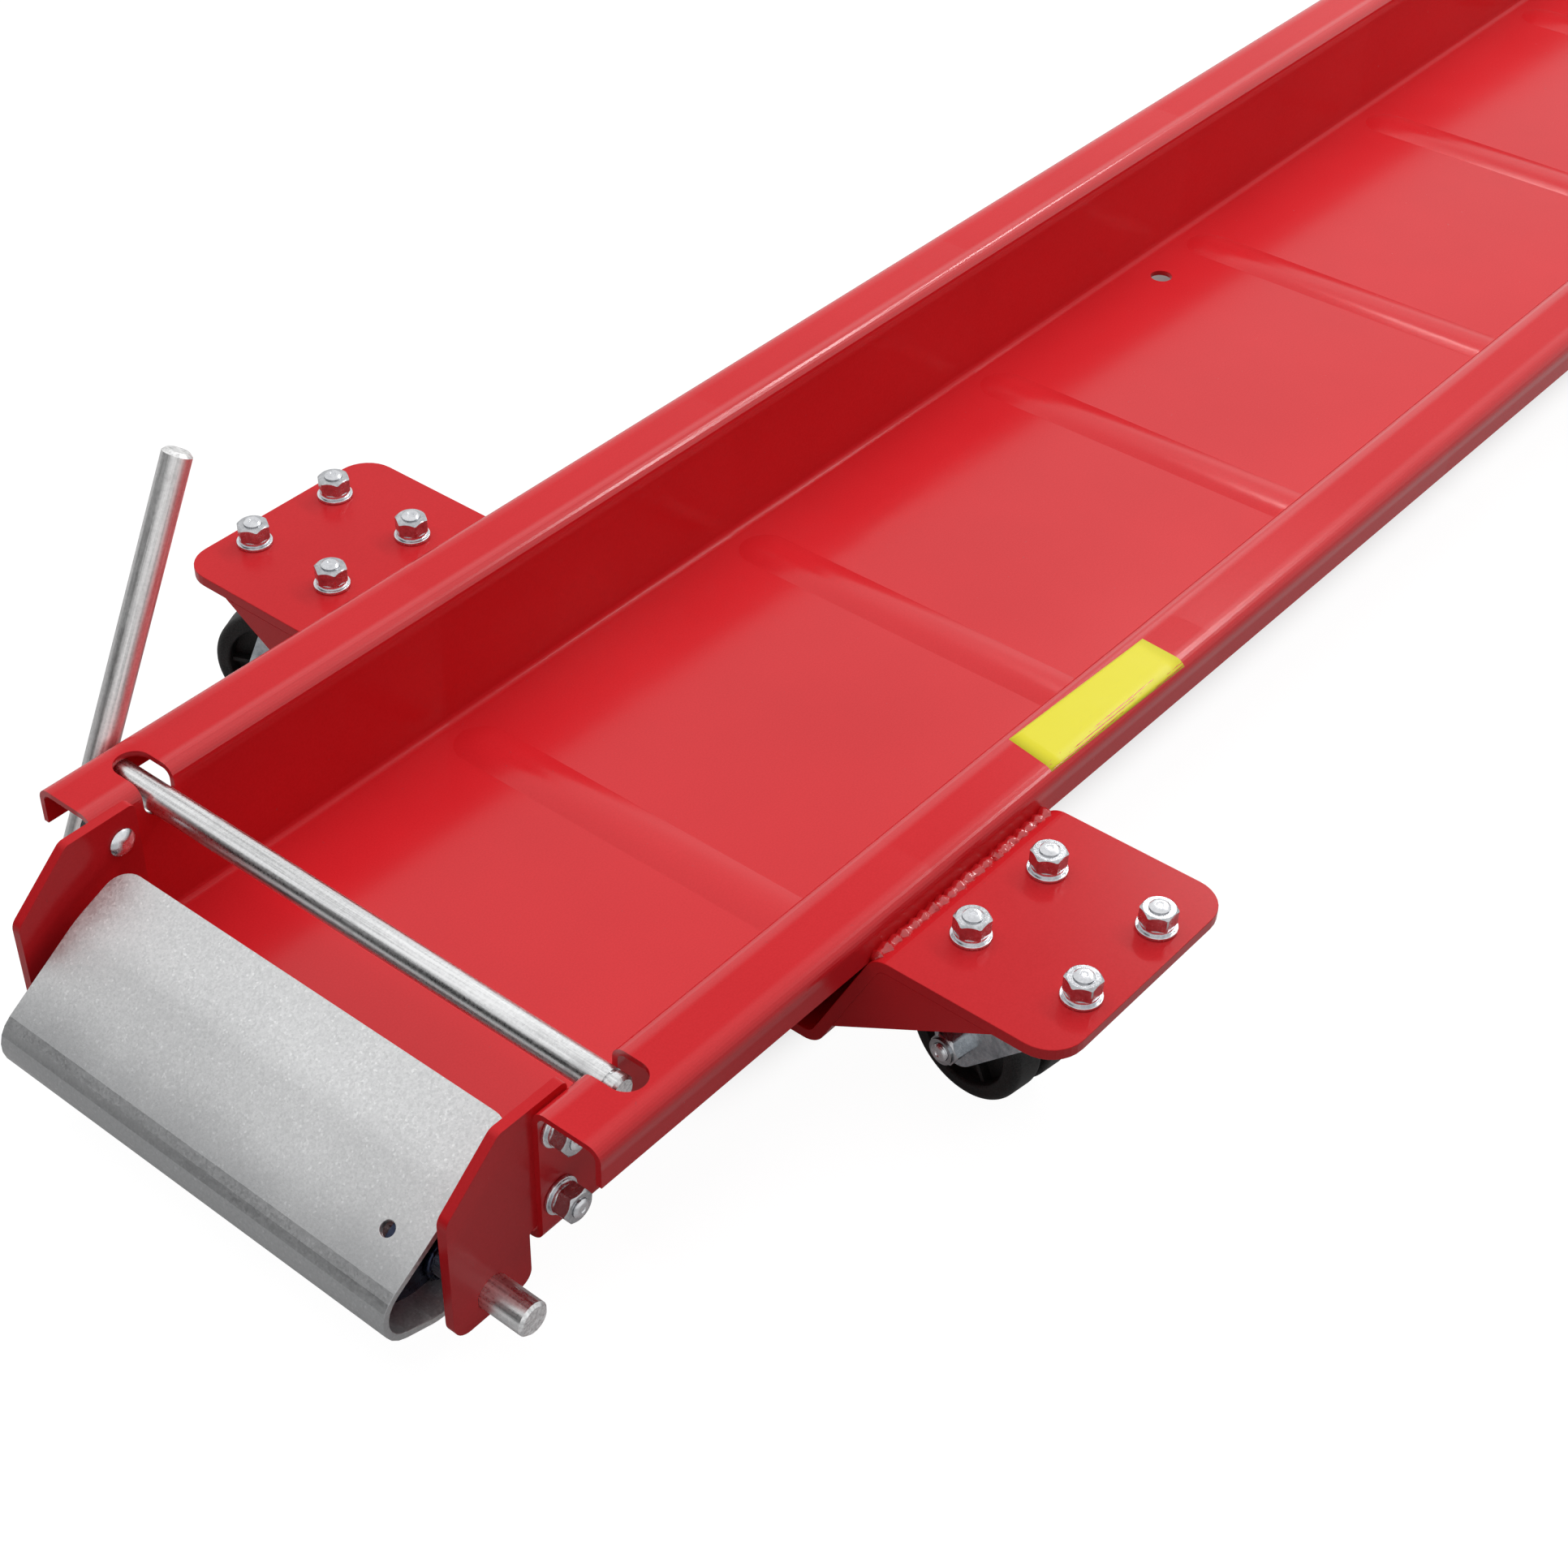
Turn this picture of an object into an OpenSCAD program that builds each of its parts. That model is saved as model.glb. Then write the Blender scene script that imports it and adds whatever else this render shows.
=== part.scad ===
// Motorcycle mover dolly: a folded steel channel on four twin-wheel swivel casters.
// Millimetres. +X runs from the ramp end to the far end, +Y is the left side seen that way,
// +Z is up. The origin is on the ground, under the middle of the whole length.

/* [Deck channel] */
// Length of the folded channel
deck_l = 2150; // [1400:10:2600]
// Inside width between the walls
deck_w = 230; // [200:1:260]
// Height of the flange top above the floor
wall_h = 65.6; // [60:0.1:80]
// Steel sheet thickness
sheet = 2.6; // [2:0.1:3.5]
// Width of each flange, from the wall's inner face to the lip's outer face
flange_w = 31.8; // [30:0.1:40]
// Height of the turned-down lip
lip_h = 17.4; // [12:0.1:22]
// Inner bend radius of the sheet
sheet_bend = 3.5; // [1.5:0.1:4]

/* [Floor beads and holes] */
// Distance from the ramp end to the first pressed bead
bead_first = 188; // [120:1:260]
// Distance between beads
bead_pitch = 193; // [120:1:300]
// Width of a bead
bead_w = 26; // [16:1:40]
// Height of a bead
bead_rise = 2; // [1:0.1:3]
// Plain floor beside each end of a bead
bead_margin = 9; // [6:0.5:20]
// Diameter of the two accessory holes in the floor
floor_hole_d = 11.6; // [6:0.1:14]
// Distance of the accessory holes from the ramp end
floor_hole_x = 721; // [650:1:740]
// Distance between the accessory holes
floor_hole_span = 190; // [120:1:200]

/* [Stop rod] */
// Diameter of the loose stop rod
rod_d = 12.7; // [8:0.1:14]
// Length of the stop rod
rod_l = 270; // [255:1:272]
// How far the rod lies towards the left side
rod_shift = 8; // [0:0.5:8]
// Distance of the rod from the ramp end
rod_x = 33; // [32:0.5:60]
// Air between the rod and the flange above it
rod_air = 1.05; // [0.8:0.05:3]
// Clearance on each side of the rod in its notch
rod_side = 1.65; // [0.5:0.05:3]
// How far each notch runs into the flange, from the wall's inner face
notch_reach = 22; // [18:0.5:24]

/* [Ramp brackets] */
// Bracket plate thickness
bracket_t = 4.5; // [3:0.1:5]
// How far the brackets stand out past the deck
bracket_out = 43.5; // [40:0.5:60]
// How far the brackets reach into the deck
bracket_in = 18; // [17.5:0.5:22]
// How far the brackets reach below the floor
bracket_drop = 20.5; // [19:0.5:28]
// Height of the lower bracket bolt above the floor
bolt_low = 16.5; // [14:0.5:20]
// Height of the upper bracket bolt above the floor
bolt_high = 51.5; // [44:0.5:51.5]
// Distance of the bracket bolts from the deck's end
bolt_in = 9; // [8.5:0.5:9.5]

/* [Ramp pivot and lever] */
// Pivot shaft diameter
shaft_d = 14.5; // [12:0.1:15]
// Distance of the pivot in front of the deck
pivot_out = 24; // [22:0.5:26]
// Depth of the pivot below the floor
pivot_drop = 9; // [7:0.5:9]
// How far the shaft stands out past the right bracket
shaft_out = 25; // [10:0.5:40]
// Lever bar diameter
lever_d = 12.5; // [10:0.1:14]
// Length of the lever above the shaft
lever_up = 213; // [120:1:320]
// Length of the lever below the shaft
lever_down = 8; // [4:0.5:12]
// Angle of the lever from upright
lever_lean = 30.7; // [10:0.1:40]
// Air between the lever and the deck's lip
lever_air = 1.15; // [1:0.05:4]

/* [Ramp flap] */
// Flap sheet thickness
flap_t = 3; // [2:0.1:3]
// Length of the flap across the deck
flap_w = 208; // [190:0.5:214]
// How far the nose stands out past the deck
nose_out = 66.4; // [62:0.2:72]
// Outer radius of the nose
nose_r = 15; // [13:0.5:17]
// Height of the nose bend's centre above the floor
nose_z = 0.1; // [-2:0.1:3]
// Slope of the flap's long upper face
ramp_slope = 33; // [31:0.5:35]
// Slope of the flap's upper edge strip
edge_slope = 22.5; // [18:0.5:26]
// Slope of the flap's underside
toe_slope = 18.6; // [16:0.2:21]
// Run of the upper face from the nose corner to the knee
ramp_run = 75; // [70:0.5:78]
// Run of the upper edge strip past the knee
edge_run = 28; // [20:0.5:30]
// Rounding of the flap's two upper corners
flap_corner = 10; // [4:0.5:20]
// Flap rib thickness
rib_t = 4; // [2.5:0.1:6]
// Distance of each rib from the flap's end
rib_inset = 14; // [6:0.5:30]
// Hole in the flap
flap_hole_d = 6.3; // [4:0.1:8]
// Distance of that hole from the flap's right end
flap_hole_inset = 17; // [5:0.5:40]
// Distance of that hole up the long face from the nose corner
flap_hole_run = 48; // [40:0.5:60]

/* [Cross-members] */
// Length of each cross-member along the deck
cross_l = 113.6; // [112:0.2:125]
// Cross-member plate thickness
cross_t = 5; // [4:0.1:6]
// Width over both wings
cross_w = 464; // [460:1:480]
// Height of the wings' top above the deck floor
wing_rise = 53.5; // [51:0.5:56]
// Slope of the plate from the floor up to the wings
cross_slope = 64.4; // [62:0.2:68]
// Rounding of the wings' outer corners
wing_corner = 15; // [6:0.5:20]
// Distance from each deck end to the middle of its cross-member
cross_x = 202.4; // [180:0.2:260]
// Gusset plate thickness
gusset_t = 4; // [3:0.1:5]
// Length of a gusset under the wing, from the deck's lip
gusset_reach = 56; // [45:0.5:62]
// Height of the gusset's foot above the floor
gusset_foot = 4.6; // [2:0.2:12]

/* [Casters] */
// Height of a caster, from the ground to the top of its plate
caster_h = 90; // [88:0.5:96]
// Distance between the left and right swivel axes
caster_track = 388.6; // [386:0.2:392]
// Wheel diameter
wheel_d = 58; // [50:0.5:60]
// Width of one wheel's tread
wheel_w = 15; // [12:0.5:18]
// Gap between the two treads
wheel_gap = 4; // [2:0.5:6]
// Distance of the axle from the swivel axis
trail = 29; // [24:0.5:30]
// Caster plate length along the deck
plate_l = 70; // [66:0.5:80]
// Caster plate width across the deck
plate_w = 70; // [66:0.5:75]
// Caster plate thickness
plate_t = 2.5; // [2:0.1:3]
// Fork sheet thickness
fork_t = 2.5; // [2:0.1:3]
// Bolt spacing along the deck
pattern_l = 48.7; // [48:0.1:52]
// Bolt spacing across the deck
pattern_w = 49; // [48:0.1:52]
// Direction in which the front left wheels trail
front_left_turn = 114; // [0:1:359]
// Direction in which the front right wheels trail
front_right_turn = 82.3; // [0:0.1:359]
// Direction in which the rear left wheels trail
rear_left_turn = 262; // [0:1:359]
// Direction in which the rear right wheels trail
rear_right_turn = 246; // [0:1:359]

/* [Fasteners] */
// Thread diameter of the bolts
bolt_d = 8; // [6:0.5:8]
// Nut size across the flats
nut_af = 13; // [11:0.5:13]
// Nut height
nut_h = 6.5; // [5:0.1:7]
// Flat washer diameter
washer_d = 16; // [15:0.5:16]
// Flat washer thickness
washer_t = 1.6; // [1:0.1:2]
// Lock washer thickness
lock_t = 2; // [1.5:0.1:2.5]
// Bolt length past the nut
bolt_end = 3; // [1:0.5:5]

/* [Far wheel stop] */
// Stop plate thickness
stop_t = 4; // [3:0.1:5]
// Length of the stop's side tabs
stop_tab = 56; // [50:1:80]
// Height of the stop above the floor
stop_h = 108; // [80:1:140]
// Distance from the stop to the deck's far end
stop_in = 8; // [4:1:30]

/* [Hidden] */
// Running clearance on the radius of a shaft
run = 0.07;
// Clearance between welded or resting neighbours
seat = 0.1;
// Clearance between moving neighbours that only come close
near = 0.3;
// Clearance on the radius of a bolt in its hole
bolt_slip = 0.5;
// Steps in a rounded corner
corner_steps = 8;
$fn = 64;

lip_y = deck_w / 2 + flange_w;
lip_z = wall_h - lip_h;
mid_x = (deck_l - nose_out) / 2;
floor_z = caster_h + cross_t - wing_rise;
axle_z = wheel_d / 2;

rod_z = wall_h - sheet - rod_air - rod_d / 2;
notch_r = rod_d / 2 + rod_side;
rod_groove = 1.5;
rod_chamfer = 1.2;

pivot = [-pivot_out, -pivot_drop];
bracket_rear = 4;
bracket_lift = 5;
bracket_slant = [27.5, 23.6];
bracket_y = deck_w / 2 - bracket_t;

lever_y = lip_y + lever_air + lever_d / 2;
lever_foot = (shaft_d + lever_d) / 2 + seat;
lever_chamfer = 1.5;
shaft_chamfer = 1;

up_dir = [cos(ramp_slope), sin(ramp_slope)];
toe_dir = [cos(toe_slope), -sin(toe_slope)];
nose_turn = 180 - ramp_slope - toe_slope;
nose_mid = [nose_r - nose_out, nose_z];
nose_tip = nose_mid - nose_r / cos(nose_turn / 2) * unit(up_dir + toe_dir);
knee = nose_tip + ramp_run * up_dir;
flap_top = knee + edge_run * [cos(edge_slope), sin(edge_slope)];
toe_z = -pivot_drop - shaft_d / 2 - seat - flap_t;
toe = nose_tip + (nose_tip[1] - toe_z) / sin(toe_slope) * toe_dir;
tail = [pivot[0] + shaft_d / 2 + 5, toe_z];
flap_line = [flap_top, knee, nose_tip, toe, tail];
knee_r = 60;
toe_r = 25;
flap_radii = [0, knee_r, nose_r, toe_r, 0];
rib_y = flap_w / 2 - rib_inset - rib_t;

wing_y = lip_y + seat + (wing_rise - lip_z) / tan(cross_slope);
keel_y = lip_y + seat - (lip_z + sheet) / tan(cross_slope);
wing_bend = 10.5;
keel_bend = 5;
cross_line = [[cross_w / 2, wing_rise], [wing_y, wing_rise], [keel_y, -sheet],
              [-keel_y, -sheet], [-wing_y, wing_rise], [-cross_w / 2, wing_rise]];
cross_radii = [0, wing_bend, keel_bend, keel_bend, wing_bend, 0];

caster_y = caster_track / 2;
tread_in = wheel_gap / 2;
tread_out = tread_in + wheel_w;
hub_out = tread_out + 1;
hub_r = 8;
leg_in = hub_out + near;
leg_out = leg_in + fork_t;
ball_r = 3;
ball_ring = 18;
ball_count = 12;
race_skin = 1.5;
skirt_r = 27;
plate_under = caster_h - plate_t;
ball_z = plate_under - race_skin - ball_r - seat;
crown_top = ball_z - ball_r - seat - race_skin;
race_gap = 1;
kingpin_r = 5;
kingpin_head = 9;
axle_boss = 11;
axle_r = bolt_d / 2;
lock_nut_h = 8;
head_h = 5.3;
button_d = 13;
button_h = 4.4;

front_x = cross_x;
rear_x = deck_l - cross_x;
front_left = [front_x, caster_y, front_left_turn];
front_right = [front_x, -caster_y, front_right_turn];
rear_left = [rear_x, caster_y, rear_left_turn];
rear_right = [rear_x, -caster_y, rear_right_turn];
all_casters = [front_left, front_right, rear_left, rear_right];
stop_bolt_x = deck_l - stop_in - stop_tab + 16;
wall_bolts = [for (x = [bolt_in, stop_bolt_x], z = [bolt_low, bolt_high]) [x, z]];

red = [0.72, 0.08, 0.1];
zinc = [0.8, 0.82, 0.84];
dark_zinc = [0.3, 0.32, 0.36];
charcoal = [0.16, 0.16, 0.17];

// Vectors in the plane
function unit(v) = v / norm(v);
function left_of(v) = [-v[1], v[0]];
function spin(v, a) = [v[0] * cos(a) - v[1] * sin(a), v[0] * sin(a) + v[1] * cos(a)];

// Points of one rounded corner, moved to the left of the line by off
function corner(before, here, after, r, off = 0) =
    let (u = unit(here - before))
    let (v = unit(after - here))
    let (turn = atan2(u[0] * v[1] - u[1] * v[0], u * v))
    let (s = sign(turn))
    let (centre = here - r * tan(abs(turn) / 2) * u + s * r * left_of(u))
    [for (k = [0 : corner_steps])
        centre - s * (r - s * off) * spin(left_of(u), turn * k / corner_steps)];

// One face of a bent strip, as an open run of points
function face(line, radii, off) =
    let (last = len(line) - 1)
    [for (i = [0 : last])
        each i == 0 ? [line[0] + off * left_of(unit(line[1] - line[0]))]
           : i == last ? [line[last] + off * left_of(unit(line[last] - line[last - 1]))]
           : corner(line[i - 1], line[i], line[i + 1], radii[i], off)];

// Section of a bent strip with its thickness to the left of the line
function strip(line, radii, t) =
    let (back = face(line, radii, t))
    concat(face(line, radii, 0), [for (i = [len(back) - 1 : -1 : 0]) back[i]]);

// Closed outline with a radius at each point, given as [x, y, radius]
function rounded(points) =
    let (n = len(points))
    let (at = [for (p = points) [p[0], p[1]]])
    [for (i = [0 : n - 1])
        each points[i][2] == 0 ? [at[i]]
           : corner(at[(i + n - 1) % n], at[i], at[(i + 1) % n], points[i][2])];

// Point where a line from p touches a circle, on its left or right side
function touch(p, centre, r, hand) =
    let (to = centre - p)
    let (d = norm(to))
    let (a = asin(r / d))
    p + sqrt(d * d - r * r) * spin(unit(to), hand * a);

// Sections drawn in the plane and pushed along X or Y
module along_x(from, to) {
    translate([from, 0, 0]) rotate([90, 0, 90]) linear_extrude(to - from) children();
}

module along_y(from, to) {
    translate([0, to, 0]) rotate([90, 0, 0]) linear_extrude(to - from) children();
}

// Places what is drawn from the deck's ramp end and floor
module on_deck() {
    translate([-mid_x, 0, floor_z]) children();
}

// Places what is drawn from a caster's swivel axis on the ground
module at_caster(c) {
    translate([c[0] - mid_x, c[1], 0]) children();
}

// The same, turned to where the wheels trail
module trailing(c) {
    at_caster(c) rotate([0, 0, c[2]]) children();
}

// A round bar along Z with both ends chamfered
module bar(d, l, chamfer) {
    rotate_extrude()
        polygon([[0, 0], [d / 2 - chamfer, 0], [d / 2, chamfer], [d / 2, l - chamfer],
                 [d / 2 - chamfer, l], [0, l]]);
}

// Hexagon along Z with its far corners turned off
module hexagon(h) {
    across = nut_af / cos(30);
    intersection() {
        cylinder(d = across, h = h, $fn = 6);
        cylinder(d1 = across + 2 * h, d2 = nut_af - 0.6, h = h);
        cylinder(d = across - 0.4, h = h);
    }
}

// Fasteners along Z, each standing on the face at zero
module washer() {
    difference() {
        cylinder(d = washer_d, h = washer_t);
        translate([0, 0, -1]) cylinder(r = bolt_d / 2 + bolt_slip, h = washer_t + 2);
    }
}

module lock_washer() {
    outer = nut_af + 0.6;
    difference() {
        cylinder(d = outer, h = lock_t);
        translate([0, 0, -1]) cylinder(r = bolt_d / 2 + bolt_slip, h = lock_t + 2);
        translate([outer / 4, 0, lock_t / 2]) rotate([35, 0, 0]) cube([outer, 0.9, lock_t * 3], center = true);
    }
}

module nut() {
    difference() {
        hexagon(nut_h);
        translate([0, 0, -1]) cylinder(r = bolt_d / 2 + seat, h = nut_h + 2);
    }
}

// Places a fastener at one height of the stack on top of a face
module stacked(level) {
    heights = [0, washer_t, washer_t + lock_t, washer_t + lock_t + nut_h + bolt_end];
    translate([0, 0, heights[level]]) children();
}

// Deck
module bead(shrink) {
    // Cap of a wide cylinder with ball ends, so that it dies away into the floor
    big = (bead_w * bead_w / 4 + bead_rise * bead_rise) / (2 * bead_rise);
    half = deck_w / 2 - bead_margin - bead_w / 2;
    translate([0, 0, bead_rise - big]) {
        rotate([90, 0, 0]) cylinder(r = big - shrink, h = 2 * half, center = true, $fn = 128);
        for (s = [-1, 1]) translate([0, s * half, 0]) sphere(r = big - shrink, $fn = 128);
    }
}

module every_bead() {
    room = deck_l - stop_in - stop_tab - bead_w;
    for (x = [bead_first : bead_pitch : room]) translate([x, 0, 0]) children();
}

module deck_channel() {
    color(red) on_deck() difference() {
        union() {
            along_x(0, deck_l)
                polygon(strip(
                    [[lip_y, lip_z], [lip_y, wall_h], [deck_w / 2, wall_h], [deck_w / 2, 0],
                     [-deck_w / 2, 0], [-deck_w / 2, wall_h], [-lip_y, wall_h], [-lip_y, lip_z]],
                    [0, sheet_bend + sheet, sheet_bend + sheet, sheet_bend,
                     sheet_bend, sheet_bend + sheet, sheet_bend + sheet, 0], sheet));
            intersection() {
                every_bead() bead(0);
                translate([0, -deck_w / 2, -sheet / 2]) cube([deck_l, deck_w, sheet / 2 + bead_rise]);
            }
        }
        intersection() {
            every_bead() bead(sheet);
            translate([0, -deck_w / 2, -sheet - 1]) cube([deck_l, deck_w, sheet + 1]);
        }
        // Open notches for the stop rod, through the flange and down the wall
        for (s = [-1, 1]) {
            reach = s * (deck_w / 2 + notch_reach - notch_r);
            rod_notch(s, reach);
        }
        // Bolt holes through the walls
        for (b = wall_bolts) translate([b[0], 0, b[1]]) rotate([90, 0, 0])
            cylinder(r = bolt_d / 2 + bolt_slip, h = deck_w + 4 * sheet, center = true);
        // Accessory holes
        for (s = [-1, 1]) translate([floor_hole_x, s * floor_hole_span / 2, 0])
            cylinder(d = floor_hole_d, h = 4 * sheet, center = true);
    }
}

// Notch for the stop rod on one side
module rod_notch(s, reach) {
    inside = s * (deck_w / 2 - 2 * sheet);
    low = rod_z - rod_d / 2 - near + notch_r;
    translate([rod_x, reach, low]) cylinder(r = notch_r, h = wall_h);
    translate([rod_x - notch_r, min(inside, reach), low])
        cube([2 * notch_r, abs(reach - inside), wall_h]);
    translate([rod_x, min(inside, reach), low]) rotate([-90, 0, 0])
        cylinder(r = notch_r, h = abs(reach - inside));
}

// Cross-member under the deck, with a wing on each side
module cross_member(x) {
    color(red) on_deck() difference() {
        intersection() {
            along_x(x - cross_l / 2, x + cross_l / 2) polygon(strip(cross_line, cross_radii, cross_t));
            translate([x, 0, -wall_h]) linear_extrude(3 * wall_h)
                polygon(rounded([for (c = [[1, 1], [-1, 1], [-1, -1], [1, -1]])
                    [c[0] * cross_l / 2, c[1] * cross_w / 2, wing_corner]]));
        }
        for (s = [-1, 1]) translate([x, s * caster_y, wing_rise - cross_t - 1])
            bolt_pattern() cylinder(r = bolt_d / 2 + bolt_slip, h = cross_t + 2);
    }
}

// Copies its child to the four bolts of a caster
module bolt_pattern() {
    for (i = [-1, 1], j = [-1, 1]) translate([i * pattern_l / 2, j * pattern_w / 2, 0]) children();
}

// Triangle under a wing: end is -1 for the ramp side and 1 for the far side
module gusset(x, side, end) {
    from = x + end * (cross_l / 2 - gusset_t / 2) - gusset_t / 2;
    color(red) on_deck() difference() {
        along_x(from, from + gusset_t)
            polygon([[side * (lip_y + gusset_reach), wing_rise - cross_t],
                     [side * wing_y, wing_rise - cross_t / 2],
                     [side * (keel_y + (gusset_foot + sheet) / tan(cross_slope) + cross_t / 2), gusset_foot]]);
        along_x(from - 1, from + gusset_t + 1) polygon(strip(cross_line, cross_radii, cross_t));
    }
}

// Ramp brackets, bolted inside the walls
module ramp_bracket(side) {
    top = wall_h - seat;
    from = side > 0 ? bracket_y : -deck_w / 2;
    color(red) on_deck() difference() {
        along_y(from, from + bracket_t)
            polygon(rounded([
                [bracket_in, top, 3], [bracket_slant[0] - bracket_out, top, 5],
                [-bracket_out, top - bracket_slant[1], 6], [-bracket_out, -bracket_drop, 8],
                [-bracket_rear, -bracket_drop, 6], [-bracket_rear, bracket_lift, 2],
                [bracket_in, bracket_lift, 3]]));
        translate([pivot[0], 0, pivot[1]]) rotate([90, 0, 0])
            cylinder(r = shaft_d / 2 + run, h = 2 * deck_w, center = true);
        for (z = [bolt_low, bolt_high]) translate([bolt_in, 0, z]) rotate([90, 0, 0])
            cylinder(r = bolt_d / 2 + bolt_slip, h = 2 * deck_w, center = true);
    }
}

// Far wheel stop: one plate folded back along both walls
module far_wheel_stop() {
    far = deck_l - stop_in;
    back = far - stop_tab;
    half = deck_w / 2;
    fold = stop_t + 4;
    low = bracket_lift;
    color(red) on_deck() difference() {
        intersection() {
            translate([0, 0, low]) linear_extrude(stop_h)
                polygon(strip([[back, -half], [far, -half], [far, half], [back, half]],
                              [0, fold, fold, 0], stop_t));
            along_y(-half, half)
                polygon(rounded([[back, low, 4], [far, low, 0], [far, stop_h, 0],
                                 [far - 2 * stop_t, stop_h, 0], [far - 2 * stop_t, wall_h + 4, 6],
                                 [back, wall_h - 6, 8]]));
            along_x(back - 1, far + 1)
                polygon(rounded([[-half, low, 0], [half, low, 0], [half, stop_h, 35], [-half, stop_h, 35]]));
        }
        for (z = [bolt_low, bolt_high]) translate([stop_bolt_x, 0, z]) rotate([90, 0, 0])
            cylinder(r = bolt_d / 2 + bolt_slip, h = 2 * deck_w, center = true);
    }
}

// Copies its child to each wall bolt, with +Z pointing out of the wall and zero on its face
module at_wall_bolts() {
    on_deck() for (s = [-1, 1], b = wall_bolts)
        translate([b[0], s * (deck_w / 2 + sheet), b[1]]) rotate([-90 * s, 0, 0]) children();
}

// Thickness clamped under each wall bolt's head
function clamped(x) = sheet + (x < deck_l / 2 ? bracket_t : stop_t);

module wall_bolts() {
    tip = washer_t + lock_t + nut_h + bolt_end;
    color(zinc) on_deck() for (s = [-1, 1], b = wall_bolts) {
        grip = clamped(b[0]);
        translate([b[0], s * (deck_w / 2 + sheet), b[1]]) rotate([-90 * s, 0, 0]) {
            translate([0, 0, -grip - 0.01]) bar(bolt_d, tip + grip, 0.9);
            intersection() {
                translate([0, 0, -grip - button_h]) cylinder(d = button_d, h = button_h);
                translate([0, 0, -grip + 4.4]) sphere(r = button_d * 0.68);
            }
        }
    }
}

module wall_washers() {
    color(zinc) at_wall_bolts() stacked(0) washer();
}

module wall_lock_washers() {
    color(zinc) at_wall_bolts() stacked(1) lock_washer();
}

module wall_nuts() {
    color(zinc) at_wall_bolts() stacked(2) nut();
}

// Ramp
module ramp_flap() {
    hole = nose_tip + flap_hole_run * up_dir;
    color([0.74, 0.75, 0.77]) on_deck() difference() {
        intersection() {
            along_y(-flap_w / 2, flap_w / 2) polygon(strip(flap_line, flap_radii, flap_t));
            translate([flap_top[0], 0, flap_top[1]]) rotate([0, -edge_slope, 0])
                translate([0, 0, -nose_out * 2]) linear_extrude(nose_out * 4)
                polygon(rounded([[0, flap_w / 2, flap_corner], [-3 * nose_out, flap_w / 2, 0],
                                 [-3 * nose_out, -flap_w / 2, 0], [0, -flap_w / 2, flap_corner]]));
        }
        translate([hole[0], flap_hole_inset - flap_w / 2, hole[1]]) rotate([0, -ramp_slope, 0])
            cylinder(d = flap_hole_d, h = 4 * flap_t, center = true);
    }
}

// Plate inside the flap, welded to the shaft; its heel rests on the end of the deck floor
module flap_rib(side) {
    skin = face(flap_line, flap_radii, flap_t + seat);
    from = side > 0 ? rib_y : -rib_y - rib_t;
    color(dark_zinc) on_deck() difference() {
        along_y(from, from + rib_t)
            polygon(concat(
                [for (p = skin) if (p[0] < knee[0] + 12) p],
                [[-pivot_out + 14, toe_z + flap_t + seat], [-near - 3, -sheet - 4], [-near, -sheet],
                 [-near, -seat], [-near - 8, 8]]));
        translate([pivot[0], 0, pivot[1]]) rotate([90, 0, 0])
            cylinder(r = shaft_d / 2 + run, h = 2 * deck_w, center = true);
    }
}

module pivot_shaft() {
    from = -deck_w / 2 - shaft_out;
    to = lever_y + lever_d / 2;
    color(zinc) on_deck() translate([pivot[0], from, pivot[1]]) rotate([-90, 0, 0])
        bar(shaft_d, to - from, shaft_chamfer);
}

// Lever, lying against the shaft's lower side and welded there
module lever_bar() {
    color(zinc) on_deck() translate([pivot[0], lever_y, pivot[1]]) rotate([0, lever_lean, 0])
        translate([lever_foot, 0, -lever_down]) bar(lever_d, lever_up + lever_down, lever_chamfer);
}

module stop_rod() {
    r = rod_d / 2;
    groove = rod_l - 6;
    color(zinc) on_deck() translate([rod_x, rod_shift + rod_l / 2, rod_z]) rotate([90, 0, 0])
        rotate_extrude()
        polygon([[0, 0], [r - rod_chamfer, 0], [r, rod_chamfer], [r, groove], [r - 0.7, groove],
                 [r - 0.7, groove + rod_groove], [r, groove + rod_groove], [r, rod_l - rod_chamfer],
                 [r - rod_chamfer, rod_l], [0, rod_l]]);
}

// Caster mounting fasteners
module at_caster_bolts() {
    for (c = all_casters) at_caster(c) translate([0, 0, caster_h + cross_t]) bolt_pattern() children();
}

module caster_bolts() {
    grip = cross_t + plate_t;
    tip = washer_t + lock_t + nut_h + bolt_end;
    color(zinc) at_caster_bolts() {
        translate([0, 0, -grip]) bar(bolt_d, grip + tip, 0.9);
        translate([0, 0, -grip]) mirror([0, 0, 1]) hexagon(head_h);
    }
}

module caster_washers() {
    color(zinc) at_caster_bolts() stacked(0) washer();
}

module caster_lock_washers() {
    color(zinc) at_caster_bolts() stacked(1) lock_washer();
}

module caster_nuts() {
    color(zinc) at_caster_bolts() stacked(2) nut();
}

// Casters
module swivel_balls() {
    color(zinc) for (c = all_casters) at_caster(c) for (k = [0 : ball_count - 1])
        rotate([0, 0, 360 * k / ball_count]) translate([ball_ring, 0, ball_z]) sphere(r = ball_r);
}

// Ring track that the balls run in
module ball_track() {
    translate([0, 0, ball_z]) rotate_extrude() translate([ball_ring, 0]) circle(r = ball_r + seat);
}

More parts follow.
